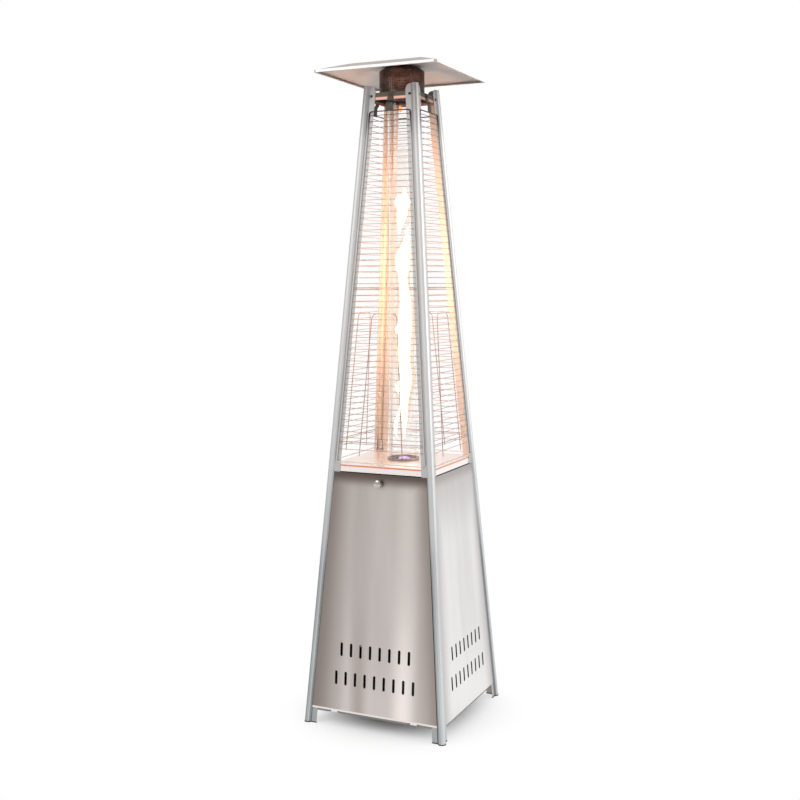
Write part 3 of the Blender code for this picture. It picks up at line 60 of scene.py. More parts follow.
# The leaning posts and the wire guards between them, as the frame has them
POST_HEIGHT = 2.183
FLOOR_SPREAD = 0.2529
TOP_SPREAD = 0.0864
LEAN = (FLOOR_SPREAD - TOP_SPREAD) / POST_HEIGHT
GUARD_SIDES = ("front", "right", "rear", "left")
GUARD_ROD_RADIUS = 0.002
GUARD_WIRE_RADIUS = 0.00105
GUARD_STAY_RADIUS = 0.0015
GUARD_OUT = 0.0068
GUARD_FROM_NOSE = 0.0180
GUARD_TOP = 2.097
GUARD_BOTTOM = 0.9145
GUARD_BEND = 0.010
WIRE_COUNT = 57
WIRE_TOP = 2.0838
WIRE_PITCH = 0.0201
STAY_HEIGHTS = (1.5068, 0.9842)
STAY_SET_BACK = 0.0004
LOOP_TOP = 1.420
LOOP_LOW = 0.937
LOOP_TOP_SHARE = 0.315
LOOP_LOW_SHARE = 0.445
LOOP_BEND = 0.018
BEND_STEPS = 6
WIRE_ROUNDNESS = 2

# Round pieces remade with more facets
FINE_SEGMENTS = 96
STUD_SEGMENTS = 24
SHARP_DEGREES = 35
GLASS_WALL = 0.003
RING_FLOOR = 0.002
RING_INNER = 0.0482
RING_GROOVE = 0.0503

# Flame screen
SCREEN_COLUMNS = 72
SCREEN_ROWS = 13
SCREEN_HOLE_SHARE = 0.56
SCREEN_SHEET = 0.0012
SCREEN_WALL_HEIGHT = 0.078
SCREEN_HEIGHT = 0.0905
SCREEN_CROWN_RADIUS = 0.058
SCREEN_RIM = 0.004
SCREEN_FOOT_INNER = 0.066
STUD_COUNT = 4
STUD_CIRCLE = 0.050
STUD_RADIUS = 0.003
STUD_COLLAR_RADIUS = 0.005
STUD_COLLAR_HEIGHT = 0.003

# Flame: height, sideways place and half width of its tongues, as the photograph shows them
FLAME_SIDEWAYS = (0.9075, 0.4200, 0.0)
FLAME_TONGUES = {
    "lower": ((0.975, 0.003, 0.001), (1.000, 0.004, 0.0045), (1.026, 0.005, 0.007),
              (1.060, 0.004, 0.011), (1.122, 0.002, 0.0170), (1.160, 0.007, 0.0200),
              (1.196, 0.012, 0.0235), (1.245, 0.006, 0.0220), (1.300, 0.003, 0.0250),
              (1.350, 0.005, 0.0265), (1.398, 0.007, 0.0245), (1.450, 0.009, 0.0220),
              (1.495, 0.006, 0.0170), (1.533, 0.001, 0.0135), (1.575, -0.001, 0.0230),
              (1.612, 0.000, 0.0285), (1.645, 0.008, 0.0190), (1.680, 0.015, 0.0090),
              (1.719, 0.019, 0.0015)),
    "upper": ((1.690, -0.012, 0.001), (1.718, -0.010, 0.0080), (1.745, -0.004, 0.0185),
              (1.775, 0.002, 0.0230), (1.805, 0.006, 0.0175), (1.830, 0.008, 0.0095),
              (1.852, 0.007, 0.0010)),
    "blue": ((0.897, 0.0, 0.020), (0.902, 0.0, 0.023), (0.909, 0.0, 0.020), (0.916, 0.0, 0.010)),
    "haze": ((0.960, 0.0, 0.030), (1.010, 0.0, 0.040), (1.300, 0.0, 0.0425),
             (1.600, 0.0, 0.0425), (1.900, 0.0, 0.040), (1.990, 0.0, 0.028)),
    # Painted glint: a glowing spot that stands for the flame's light at the top of the tube
    "spark": ((2.103, -0.007, 0.002), (2.110, -0.007, 0.0060), (2.118, -0.007, 0.0070),
              (2.126, -0.007, 0.0025)),
    "left_wisp": ((0.985, -0.024, 0.001), (1.005, -0.026, 0.0045), (1.028, -0.027, 0.0070),
                  (1.050, -0.022, 0.0045), (1.085, -0.012, 0.0030), (1.115, -0.006, 0.0015)),
}
NESTED_TONGUES = ("lower", "upper", "left_wisp")
# Shells of glowing gas: share of the tongues' width, colour, strength and opacity
FLAME_SHELLS = (
    ("core", 0.90, (1.0, 0.95, 0.80), 9.0, 1.0),
    ("body", 1.12, (1.0, 0.72, 0.36), 1.20, 0.55),
    ("veil", 1.55, (1.0, 0.52, 0.26), 1.00, 0.26),
    ("haze", 1.0, (1.0, 0.84, 0.72), 0.92, 0.30),
    ("blue", 1.0, (0.68, 0.50, 0.92), 1.10, 0.75),
    ("spark", 1.0, (1.0, 0.24, 0.03), 1.7, 1.0),
)
# Ripples round a tongue: lobes, twist in radians a metre and depth. Sway: reach and radians a metre
FLAME_RIPPLES = ((2, 55.0, 0.17), (3, -83.0, 0.11))
FLAME_SWAY = (0.0016, 105.0)
FLAME_ROUND = 20
# Light of the flame and of the hot drum: height, watts and colour
GLOW_COLOUR = (1.0, 0.47, 0.23)
DRUM_GLOW_COLOUR = (1.0, 0.16, 0.04)
GLOW_LAMPS = ((1.16, 1.1, GLOW_COLOUR), (1.36, 3.2, GLOW_COLOUR), (1.58, 3.6, GLOW_COLOUR),
              (1.80, 2.1, GLOW_COLOUR), (2.222, 0.30, DRUM_GLOW_COLOUR))
GLOW_RADIUS = 0.030

WHITE = (1.0, 1.0, 1.0)

# Noise: the part of its range that a look uses, and its scales, of grain that runs level (X) or
# upright (Z) and of soft clouds
NOISE_ROUGHNESS = 0.55
NOISE_BAND = (0.30, 0.70)
PATCH_BAND = (0.35, 0.65)
GRAIN_SCALES = {'X': (14.0, 14.0, 2600.0), 'Z': (2600.0, 2600.0, 14.0)}
CLOUD_SCALE = (5.0, 5.0, 3.0)
SHEET_STREAKS = 0.05

# Wander of the roughness to each side of its middle, and relief as strength and depth
SHEET_WANDER = (-0.05, 0.07)
HEATED_WANDER = (-0.03, 0.04)
MOTTLED_WANDER = (-0.07, 0.07)
SHEET_RELIEF = (0.25, 0.00004)
HEATED_RELIEF = (0.1, 0.00001)
ROUGH_RELIEF = (0.3, 0.0003)
FINE_RELIEF = (0.1, 0.0001)
POLISHED_RELIEF = (0.05, 0.00005)

# Plain finishes: two tones, metallic share, roughness, scale of the patches and relief
MOTTLED_FINISHES = {
    "foot_plastic": ((0.022, 0.022, 0.023), (0.035, 0.035, 0.036), 0.0, 0.55, 400.0, ROUGH_RELIEF),
    "polished_steel": ((0.46, 0.44, 0.41), (0.62, 0.60, 0.57), 1.0, 0.08, 60.0, POLISHED_RELIEF),
    "clip_steel": ((0.055, 0.048, 0.042), (0.11, 0.095, 0.08), 1.0, 0.42, 120.0, ROUGH_RELIEF),
    "burner_iron": ((0.045, 0.038, 0.034), (0.10, 0.075, 0.06), 0.6, 0.6, 160.0, ROUGH_RELIEF),
    "pilot_metal": ((0.50, 0.40, 0.24), (0.34, 0.26, 0.17), 1.0, 0.4, 200.0, ROUGH_RELIEF),
    "gas_brass": ((0.76, 0.56, 0.26), (0.66, 0.46, 0.20), 1.0, 0.3, 140.0, ROUGH_RELIEF),
    "black_plastic": ((0.020, 0.020, 0.021), (0.032, 0.032, 0.033), 0.0, 0.5, 500.0, ROUGH_RELIEF),
    "button_plastic": ((0.50, 0.035, 0.02), (0.56, 0.045, 0.03), 0.0, 0.32, 200.0, FINE_RELIEF),
    "screen_steel": ((0.035, 0.024, 0.019), (0.105, 0.080, 0.066), 0.9, 0.32, 45.0, ROUGH_RELIEF),
}

# Side that looks inwards: how far its normal points back to the middle
INNER_FACING = (-0.85, -0.75)

# Painted shade in the crease between a post's nose and its flange: where it begins, is full, starts
# to fade and ends, from the nose's centre, and its depth low down and higher up
CREASE_STEPS = (-0.0155, -0.0130, -0.0095, -0.0045)
CREASE_DEPTHS = (0.97, 0.26)
# The painted crease shade is weaker on sides that look right
CREASE_FACING = ((0.0, 0.8), (1.0, 0.5))
# Shade of a post's sides that look left, low down and higher up
LEFT_SHADES = (0.74, 0.30)
LEFT_FACING = ((-0.9, 0.5), (1.0, 0.0))
# Heights between which the painted crease shade and side shade turn from the lower to the upper
# depth
POST_MIDDLE = (0.50, 0.74)
# Painted shade on the posts' flanges: how far back from the nose's centre it begins, its blur, its
# strength and its colour
FLANGE_EDGE = -0.0150
FLANGE_BLUR = 0.0015
FLANGE_SHADE = 0.6
FLANGE_SHADE_COLOUR = (0.52, 0.518, 0.515)
# Painted light: the posts turn paler between these heights, up to this share
POST_UPPER_FADE = ((0.50, 1.40), (0.0, 0.85))
# Painted shade at the posts' tops: the heights over which it comes in, and its colour
POST_TOP_FADE = (1.95, 2.13)
POST_TOP_SHADE_COLOUR = (0.47, 0.465, 0.46)
# Metallic share of a post's outside and of its inner side
POST_METALLIC = (0.94, 0.45)

# Screws through the posts' flanges: in from the nose's centre, out, how far their heads stand
# proud, height and head radius
SCREW_FROM_NOSE = 0.0185
SCREW_SEAT = 0.0045
SCREW_PROUD = (SCREW_SEAT - 0.0005, SCREW_SEAT - 0.0002)
SCREW_HEIGHT = 2.149
SCREW_RADIUS = 0.0042
SCREW_EDGE = SCREW_RADIUS * 1.15
SCREW_COLOUR = (0.05, 0.045, 0.04)

# Reflector's hem: the half width at which its painted highlight begins, and the highlight's colour
REFLECTOR_HEM_OUT = 0.2223
REFLECTOR_HEM_EDGE = (REFLECTOR_HEM_OUT - 0.0010, REFLECTOR_HEM_OUT - 0.0004)
REFLECTOR_HEM_HIGHLIGHT = (0.96, 0.96, 0.94)

# Cabinet sheet: its tones as shares of its colour, and the heights where each begins and ends
PANEL_TOP = 0.886
PANEL_LOW = 0.054
PANEL_ROUGHNESS = 0.34
PANEL_GRAIN_SCALE = (10.0, 10.0, 2600.0)
PANEL_STREAKS = 0.04
PANEL_TONES = (0.95, 1.05)
PANEL_TONE_SCALE = (11.0, 11.0, 0.35)
PANEL_TONE_BAND = (0.36, 0.64)
# Painted light: the sheet is lighter towards its foot, by this share, fading out between these
# heights
PANEL_FOOT_LIGHT = 1.14
PANEL_FOOT_LIGHT_FADE = ((PANEL_LOW, 0.36), (0.65, 0.0))
# Painted shade: darker towards the posts, from these shares of the half width, and towards the top
PANEL_MARGIN_SHADE = (0.60, 0.99)
PANEL_CROWN_END = PANEL_TOP - 0.01
PANEL_CROWN_SHADE = 0.80
# Painted shadow under the deck's apron: a dark brow between these heights
PANEL_BROW_SHADOW = (PANEL_TOP - 0.055, PANEL_TOP - 0.010)
# Painted shade: the side panels' inner side is dark, so that the cabinet's inside seen through the
# slots is dark
PANEL_INSIDE_SHADE = (0.12, 0.12, 0.12)

# Painted reflection on the door's sheet: upright bands as (place across, half width, strength),
# light above 0 and dark below, fading upwards, then the painted shade of its left side and the
# painted highlight along its foot
DOOR_BANDS = ((-0.110, 0.036, 0.30), (-0.060, 0.045, -0.60), (0.108, 0.060, 1.00),
              (0.175, 0.045, -0.20))
DOOR_BAND_HIGHLIGHT = 1.62
DOOR_BAND_FADE = ((PANEL_LOW, 0.56), (1.0, 0.24))
DOOR_LEFT_REACH = ((-1.0, -0.30), (1.0, 0.0))
DOOR_LEFT_FADE = ((PANEL_LOW, 0.62), (0.95, 0.60))
DOOR_LEFT_TONE = 0.76
DOOR_FOOT_HIGHLIGHT_LINE = ((PANEL_LOW + 0.005, PANEL_LOW + 0.007), (1.0, 0.0))
DOOR_FOOT_HIGHLIGHT = (0.84, 0.80, 0.77)
DOOR_BACK_COLOUR = (0.42, 0.41, 0.40)

# Punched slots: rows as (count, height), and the painted shade round them that makes the dark slots
# look wider
SLOT_ROWS = ((9, 0.1704), (8, 0.270))
SLOT_PITCH = 0.0363
SLOT_LENGTH = 0.045
SLOT_WIDTH = 0.007
DOOR_SLOT_RIM = 0.0009
PANEL_SLOT_RIM = 0.0016
SLOT_RIM_BLUR = 0.0009
SLOT_SHADE_COLOUR = (0.03, 0.03, 0.03)

# Heated sheet: its grain, and the ragged edge of its tint
HEATED_GRAIN_SCALE = (1800.0, 14.0, 14.0)
HEATED_STREAKS = 0.03
HEAT_WANDER_SCALE = (18.0, 18.0, 18.0)
HEAT_WANDER = (-0.012, 0.012)
# Line of painted flame glow along its edge: the share of its reach that is full, its strength, how
# far it lies below the deck's top or above the top plate's foot, its reach up and down, and its
# colour
GLOW_LINE_FULL = 0.5
GLOW_LINE_STRENGTH = 0.9
DECK_LINE_DROP = 0.0040
DECK_LINE_REACH = 0.0034
DECK_GLOW_LINE_COLOUR = (0.86, 0.22, 0.07)
PLATE_LINE_RISE = 0.005
PLATE_LINE_REACH = 0.006
PLATE_GLOW_LINE_COLOUR = (0.66, 0.38, 0.30)

# Guard wire: metallic share, roughness, scale of its patches, the soft edge of the rod's tone,
# and the heights between which wires and rings turn burnt
WIRE_METALLIC = 0.6
WIRE_ROUGHNESS = 0.38
WIRE_PATCH_SCALE = 90.0
ROD_TONE_EDGE = (GUARD_ROD_RADIUS, GUARD_ROD_RADIUS * 1.5)
WIRE_BURNT = (GUARD_TOP - 0.10, GUARD_TOP - 0.01)
RING_BURNT = (GUARD_TOP - 0.30, GUARD_TOP - 0.15)

# Tube glass: its refraction, and the smoky film's scale, colour and gloss
GLASS_IOR = 1.45
FILM_SCALE = (9.0, 9.0, 5.0)
FILM_COLOUR = (0.975, 0.975, 0.97)
FILM_GLOSS = ((0.4, 0.7), (0.01, 0.04))

# Glowing gas: its flicker's scale, how much paler its bright patches are, and its least and
# most opacity as shares
GAS_SCALE = (22.0, 22.0, 9.0)
GAS_PALER = (1.25, 0.04)
GAS_OPACITY = (0.5, 1.4)

# Floor: lit and shaded up to the first radius, and plain white from the second
FLOOR_HALF = 60.0
FLOOR_COLOUR = (0.95, 0.95, 0.95)
FLOOR_ROUGHNESS = 0.9
FLOOR_SPECULAR = 0.1
FLOOR_LIT_RADIUS = 0.12
FLOOR_WHITE_RADIUS = 0.47

# World: its plain fill, and the room that metal mirrors, with the directions in which it fades
WORLD_FILL = 0.88
WORLD_BEHIND_CAMERA = (0.56, 0.535, 0.51)
WORLD_BEHIND_FADE = (-0.75, 0.10)
WORLD_LEFT = (0.72, 0.71, 0.70)
WORLD_LEFT_FADE = (-0.95, 0.10)
WORLD_AHEAD = (0.80, 0.79, 0.78)
WORLD_AHEAD_FADE = (0.55, 0.95)

# Softboxes: place, width and height, and watts, each aimed at the heater's middle
SOFTBOXES = {
    "key_softbox": ((-3.2, -4.2, 4.2), (4.0, 4.0), 80.0),
    "side_softbox": ((4.6, 0.6, 2.8), (3.0, 4.0), 56.0),
}
SOFTBOX_TARGET = (0.0, 0.0, 1.1)


def spread(z):
    """Distance of a post's centre line from the middle plane, at a height."""
    return FLOOR_SPREAD - LEAN * z


def face_point(across, out, z):
    """A point of the front's leaning face: across it, out from the posts' centre lines, and up."""
    return Vector((across, -spread(z) - out, z))


def on_circle(radius, turn):
    """Place on a circle about the origin."""
    return radius * math.cos(turn), radius * math.sin(turn)


def quarter_turn(count):
    """A turn about Z by quarters, from the front towards the right."""
    return Matrix.Rotation(count * math.pi / 2, 4, 'Z')


def new_tree(name):
    """A new material with its node tree and its shader."""
    made = bpy.data.materials.new(name)
    made.use_nodes = True
    return made, made.node_tree, made.node_tree.nodes["Principled BSDF"]


def reopen(made):
    """A material's node tree, its shader, and the colour that it has so far."""
    shader = made.node_tree.nodes["Principled BSDF"]
    return made.node_tree, shader, shader.inputs["Base Color"].links[0].from_socket


def feed(tree, target, value):
    """Link a node's input to a socket, or set it to a number or a colour."""
    if isinstance(value, bpy.types.NodeSocket):
        tree.links.new(value, target)
    elif target.type == 'RGBA':
        target.default_value = (*value, 1.0)
    else:
        target.default_value = value


def place_coordinates(tree, scale):
    """The object's own coordinates, scaled on each axis."""
    source = tree.nodes.new("ShaderNodeTexCoord")
    mapping = tree.nodes.new("ShaderNodeMapping")
    mapping.inputs["Scale"].default_value = scale
    tree.links.new(source.outputs["Object"], mapping.inputs["Vector"])
    return mapping.outputs["Vector"]


def split(tree):
    """The object's own coordinates as three sockets."""
    node = tree.nodes.new("ShaderNodeSeparateXYZ")
    tree.links.new(place_coordinates(tree, (1.0, 1.0, 1.0)), node.inputs["Vector"])
    return node.outputs["X"], node.outputs["Y"], node.outputs["Z"]


def noise(tree, scale, detail=2.0):
    """Noise stretched by a scale on each axis."""
    node = tree.nodes.new("ShaderNodeTexNoise")
    node.inputs["Scale"].default_value = 1.0
    node.inputs["Detail"].default_value = detail
    node.inputs["Roughness"].default_value = NOISE_ROUGHNESS
    tree.links.new(place_coordinates(tree, scale), node.inputs["Vector"])
    return node.outputs["Fac"]


def remap(tree, value, source, target=(0.0, 1.0), kind='LINEAR'):
    """A value moved from one range to another."""
    node = tree.nodes.new("ShaderNodeMapRange")
    node.interpolation_type = kind
    for socket, number in zip(("From Min", "From Max", "To Min", "To Max"), (*source, *target)):
        node.inputs[socket].default_value = number
    tree.links.new(value, node.inputs["Value"])
    return node.outputs["Result"]


def ease(tree, value, source, target=(0.0, 1.0)):
    """A value moved from one range to another with soft ends."""
    return remap(tree, value, source, target, 'SMOOTHSTEP')


def calculate(tree, operation, *values):
    """One step of arithmetic on sockets or numbers."""
    node = tree.nodes.new("ShaderNodeMath")
    node.operation = operation
    for target, value in zip(node.inputs, values):
        feed(tree, target, value)
    return node.outputs["Value"]


def distance(tree, first, second):
    """How far a value is from another, or from a number."""
    return calculate(tree, 'ABSOLUTE', calculate(tree, 'SUBTRACT', first, second))


def length_of(tree, first, second):
    """Length of a two-way distance."""
    squares = [calculate(tree, 'MULTIPLY', value, value) for value in (first, second)]
    return calculate(tree, 'SQRT', calculate(tree, 'ADD', *squares))


def blend_colours(tree, factor, first, second):
    """Two colours mixed by a factor, each of them a socket or three numbers."""
    node = tree.nodes.new("ShaderNodeMix")
    node.data_type = 'RGBA'
    feed(tree, node.inputs["Factor"], factor)
    targets = [item for item in node.inputs if item.type == 'RGBA']
    for target, value in zip(targets, (first, second)):
        feed(tree, target, value)
    return next(item for item in node.outputs if item.type == 'RGBA')


def mix_shaders(tree, factor, first, second):
    """Two shaders mixed by a factor."""
    node = tree.nodes.new("ShaderNodeMixShader")
    for target, value in zip(node.inputs, (factor, first, second)):
        tree.links.new(value, target)
    return node.outputs["Shader"]


def scaled(colour, factor):
    """A colour made brighter or darker, kept below white."""
    return tuple(min(1.0, channel * factor) for channel in colour)


def streaked(tree, lines, share, base):
    """A colour with pale lines of grain over it."""
    return blend_colours(tree, remap(tree, lines, NOISE_BAND, (0.0, share)), base, WHITE)


def add_gloss(tree, shader, texture, roughness, wander, relief):
    """Roughness that wanders with a texture, and fine relief from the same texture."""
    gloss = tuple(roughness + step for step in wander)
    tree.links.new(remap(tree, texture, NOISE_BAND, gloss), shader.inputs["Roughness"])
    node = tree.nodes.new("ShaderNodeBump")
    node.inputs["Strength"].default_value, node.inputs["Distance"].default_value = relief
    tree.links.new(texture, node.inputs["Height"])
    tree.links.new(node.outputs["Normal"], shader.inputs["Normal"])


def brushed_steel(name, colour, roughness, grain, dark_share=0.86, metallic=1.0):
    """Brushed sheet: fine lines along the grain, soft clouds, and a little wander in the gloss."""
    made, tree, shader = new_tree(name)
    shader.inputs["Metallic"].default_value = metallic
    lines = noise(tree, GRAIN_SCALES[grain])
    clouds = remap(tree, noise(tree, CLOUD_SCALE), PATCH_BAND)
    base = blend_colours(tree, clouds, scaled(colour, dark_share), colour)
    tree.links.new(streaked(tree, lines, SHEET_STREAKS, base), shader.inputs["Base Color"])
    add_gloss(tree, shader, lines, roughness, SHEET_WANDER, SHEET_RELIEF)
    return made


def highlight_hem(made):
    """The reflector's sheet with a painted highlight on the outer face of its hem."""
    tree, shader, plain = reopen(made)
    x, y, _ = split(tree)
    out = calculate(tree, 'MAXIMUM', *(calculate(tree, 'ABSOLUTE', value) for value in (x, y)))
    hem = remap(tree, out, REFLECTOR_HEM_EDGE)
    hem_highlight = blend_colours(tree, hem, plain, REFLECTOR_HEM_HIGHLIGHT)
    tree.links.new(hem_highlight, shader.inputs["Base Color"])
    return made


def post_line(tree, z):
    """Distance of the posts' centre lines from the middle plane at the shaded height."""
    return calculate(tree, 'MULTIPLY_ADD', z, -LEAN, FLOOR_SPREAD)


def across_face(tree, x, y):
    """Distance sideways from the middle of the face that is shaded."""
    return calculate(tree, 'MINIMUM', *(calculate(tree, 'ABSOLUTE', value) for value in (x, y)))


def inner_side(tree):
    """1 on the faces that look inwards, and 0 on all others, also when the piece is turned."""
    source = tree.nodes.new("ShaderNodeTexCoord")
    flat = tree.nodes.new("ShaderNodeVectorMath")
    flat.operation = 'MULTIPLY'
    flat.inputs[1].default_value = (1.0, 1.0, 0.0)
    tree.links.new(source.outputs["Object"], flat.inputs[0])
    facing = tree.nodes.new("ShaderNodeVectorMath")
    facing.operation = 'DOT_PRODUCT'
    tree.links.new(source.outputs["Normal"], facing.inputs[0])
    tree.links.new(flat.outputs["Vector"], facing.inputs[1])
    half = post_line(tree, split(tree)[2])
    share = calculate(tree, 'DIVIDE', facing.outputs["Value"], half)
    return remap(tree, share, INNER_FACING, (1.0, 0.0))


def slot_shade_rims(tree, across, z, width):
    """1 round the punched slots, where painted shade of that width widens the dark slot, and 0
    elsewhere.
    """
    edge = SLOT_WIDTH / 2 + width
    rims = None
    for count, height in SLOT_ROWS:
        off = calculate(tree, 'PINGPONG', calculate(tree, 'DIVIDE', across, SLOT_PITCH), 0.5)
        if count % 2 == 0:
            off = calculate(tree, 'SUBTRACT', 0.5, off)
        off = calculate(tree, 'MULTIPLY', off, SLOT_PITCH)
        rise = distance(tree, z, height)
        rise = calculate(tree, 'SUBTRACT', rise, (SLOT_LENGTH - SLOT_WIDTH) / 2)
        rise = calculate(tree, 'MAXIMUM', rise, 0.0)
        near = remap(tree, length_of(tree, off, rise), (edge, edge + SLOT_RIM_BLUR), (1.0, 0.0))
        inside = calculate(tree, 'LESS_THAN', across, count / 2 * SLOT_PITCH)
        rim = calculate(tree, 'MULTIPLY', near, inside)
        rims = rim if rims is None else calculate(tree, 'MAXIMUM', rims, rim)
    return rims


def add_door_reflection_bands(tree, x, z, sheet, colour, edge_shade_colour):
    """Painted reflection: soft upright light and dark bands over the door's sheet, fading upwards.
    """
    fade = ease(tree, z, *DOOR_BAND_FADE)
    for place, reach, strength in DOOR_BANDS:
        bell = ease(tree, distance(tree, x, place), (0.0, reach), (abs(strength), 0.0))
        band_reflection = scaled(colour, DOOR_BAND_HIGHLIGHT) if strength > 0 else edge_shade_colour
        sheet = blend_colours(tree, calculate(tree, 'MULTIPLY', bell, fade), sheet, band_reflection)
    return sheet


def shade_door_left(tree, x, z, half, sheet, edge_shade_colour):
    """Shade over the left side of the door's sheet, fading upwards."""
    side = remap(tree, calculate(tree, 'DIVIDE', x, half), *DOOR_LEFT_REACH)
    fade = remap(tree, z, *DOOR_LEFT_FADE)
    shade = calculate(tree, 'MULTIPLY', side, fade)
    return blend_colours(tree, shade, sheet, scaled(edge_shade_colour, DOOR_LEFT_TONE))


def panel_steel(name, colour, edge_shade_colour, brow_shadow_colour, back_colour, crown_shade_reach, slot_rim,
                is_door=False):
    """Brushed cabinet sheet: level grain, soft tones, painted light towards its foot, painted shade
    on its margins, its top and round its slots, a painted shadow as a dark brow, and its back
    colour on the inner side.

    The door also has upright bands of painted reflection, painted shade on its left side and a
    painted highlight along its foot.
    """
    made, tree, shader = new_tree(name)
    shader.inputs["Metallic"].default_value = 1.0
    x, y, z = split(tree)
    across = across_face(tree, x, y)
    half = post_line(tree, z)
    tone = ease(tree, noise(tree, PANEL_TONE_SCALE), PANEL_TONE_BAND)
    sheet = blend_colours(tree, tone, *(scaled(colour, share) for share in PANEL_TONES))
    # Painted light towards the foot of the sheet
    foot = ease(tree, z, *PANEL_FOOT_LIGHT_FADE)
    sheet = blend_colours(tree, foot, sheet, scaled(colour, PANEL_FOOT_LIGHT))
    if is_door:
        sheet = add_door_reflection_bands(tree, x, z, sheet, colour, edge_shade_colour)
    # Painted shade on the margins by the posts and at the top of the sheet
    margin_shade = ease(tree, calculate(tree, 'DIVIDE', across, half), PANEL_MARGIN_SHADE)
    crown = ease(tree, z, (PANEL_TOP - crown_shade_reach, PANEL_CROWN_END), (0.0, PANEL_CROWN_SHADE))
    sheet = blend_colours(tree, calculate(tree, 'MAXIMUM', margin_shade, crown), sheet, edge_shade_colour)
    if is_door:
        sheet = shade_door_left(tree, x, z, half, sheet, edge_shade_colour)
    # Painted shadow under the deck's apron
    sheet = blend_colours(tree, ease(tree, z, PANEL_BROW_SHADOW), sheet, brow_shadow_colour)
    if is_door:
        # Painted highlight along the door's foot
        sheet = blend_colours(tree, remap(tree, z, *DOOR_FOOT_HIGHLIGHT_LINE), sheet, DOOR_FOOT_HIGHLIGHT)
    lines = noise(tree, PANEL_GRAIN_SCALE)
    sheet = streaked(tree, lines, PANEL_STREAKS, sheet)
    rims = slot_shade_rims(tree, across, z, slot_rim)
    sheet = blend_colours(tree, rims, sheet, SLOT_SHADE_COLOUR)
    # Inner side: painted shade on the side panels, the inside's plain colour on the door
    sheet = blend_colours(tree, inner_side(tree), sheet, back_colour)
    tree.links.new(sheet, shader.inputs["Base Color"])
    add_gloss(tree, shader, lines, PANEL_ROUGHNESS, SHEET_WANDER, SHEET_RELIEF)
    return made


def post_shade(tree, back, z):
    """How dark the painted shade makes a post in the crease beside its nose and on its sides that
    look left.
    """
    source = tree.nodes.new("ShaderNodeTexCoord")
    facing = tree.nodes.new("ShaderNodeSeparateXYZ")
    tree.links.new(source.outputs["Normal"], facing.inputs["Vector"])
    begin = remap(tree, back, CREASE_STEPS[:2])
    end = remap(tree, back, CREASE_STEPS[2:], (1.0, 0.0))
    crease_shade = calculate(tree, 'MULTIPLY', begin, end)
    crease_shade = calculate(tree, 'MULTIPLY', crease_shade, ease(tree, z, POST_MIDDLE, CREASE_DEPTHS))
    turned_right = remap(tree, facing.outputs["X"], *CREASE_FACING)
    crease_shade = calculate(tree, 'MULTIPLY', crease_shade, turned_right)
    left = calculate(tree, 'MULTIPLY', remap(tree, facing.outputs["X"], *LEFT_FACING),
                     ease(tree, z, POST_MIDDLE, LEFT_SHADES))
    return calculate(tree, 'MAXIMUM', crease_shade, left)


def screw_heads(tree, offsets, back, z):
    """1 on the heads of the posts' screws, and 0 elsewhere."""
    aside = calculate(tree, 'ADD', back, SCREW_FROM_NOSE)
    rise = calculate(tree, 'SUBTRACT', z, SCREW_HEIGHT)
    head = remap(tree, length_of(tree, aside, rise), (SCREW_RADIUS, SCREW_EDGE), (1.0, 0.0))
    proud = remap(tree, calculate(tree, 'MAXIMUM', *offsets), SCREW_PROUD)
    return calculate(tree, 'MULTIPLY', head, proud)


def post_steel(name, colour, upper_lit_colour, inner_colour, crease_shade_colour, roughness):
    """Folded post sheet: upright grain, painted lighter higher up, with dark screws.

    Painted shade darkens the crease beside the nose, the sides that look left, the flanges and the
    top, and the inner side is duller.
    """
    made = brushed_steel(name, colour, roughness, 'Z')
    tree, shader, sheet = reopen(made)
    x, y, z = split(tree)
    line = post_line(tree, z)
    offsets = [calculate(tree, 'SUBTRACT', calculate(tree, 'ABSOLUTE', value), line)
               for value in (x, y)]
    back = calculate(tree, 'MINIMUM', *offsets)
    flange_shade = remap(tree, back, (FLANGE_EDGE - FLANGE_BLUR, FLANGE_EDGE), (FLANGE_SHADE, 0.0))
    inner = inner_side(tree)
    for share, tone in ((ease(tree, z, *POST_UPPER_FADE), upper_lit_colour),
                        (ease(tree, z, POST_TOP_FADE), POST_TOP_SHADE_COLOUR),
                        (flange_shade, FLANGE_SHADE_COLOUR),
                        (post_shade(tree, back, z), crease_shade_colour),
                        (screw_heads(tree, offsets, back, z), SCREW_COLOUR),
                        (inner, inner_colour)):
        sheet = blend_colours(tree, share, sheet, tone)
    tree.links.new(sheet, shader.inputs["Base Color"])
    tree.links.new(remap(tree, inner, (0.0, 1.0), POST_METALLIC), shader.inputs["Metallic"])
    return made


def heated_steel(name, cool, hot, hot_reach, line, roughness, metallic):
    """Sheet that heat has tinted towards the middle, with a line of painted flame glow along its
    edge.

    The line is its height, how far it reaches up and down, and its colour.
    """
    made, tree, shader = new_tree(name)
    shader.inputs["Metallic"].default_value = metallic
    x, y, z = split(tree)
    ragged = noise(tree, HEAT_WANDER_SCALE, detail=3.0)
    wander = remap(tree, ragged, NOISE_BAND, HEAT_WANDER)
    radius = calculate(tree, 'ADD', length_of(tree, x, y), wander)
    sheet = blend_colours(tree, ease(tree, radius, hot_reach, (1.0, 0.0)), cool, hot)
    lines = noise(tree, HEATED_GRAIN_SCALE)
    sheet = streaked(tree, lines, HEATED_STREAKS, sheet)
    height, reach, glow_line_colour = line
    glow_line = ease(tree, distance(tree, z, height), (reach * GLOW_LINE_FULL, reach),
                (GLOW_LINE_STRENGTH, 0.0))
    sheet = blend_colours(tree, glow_line, sheet, glow_line_colour)
    tree.links.new(sheet, shader.inputs["Base Color"])
    add_gloss(tree, shader, lines, roughness, HEATED_WANDER, HEATED_RELIEF)
    return made


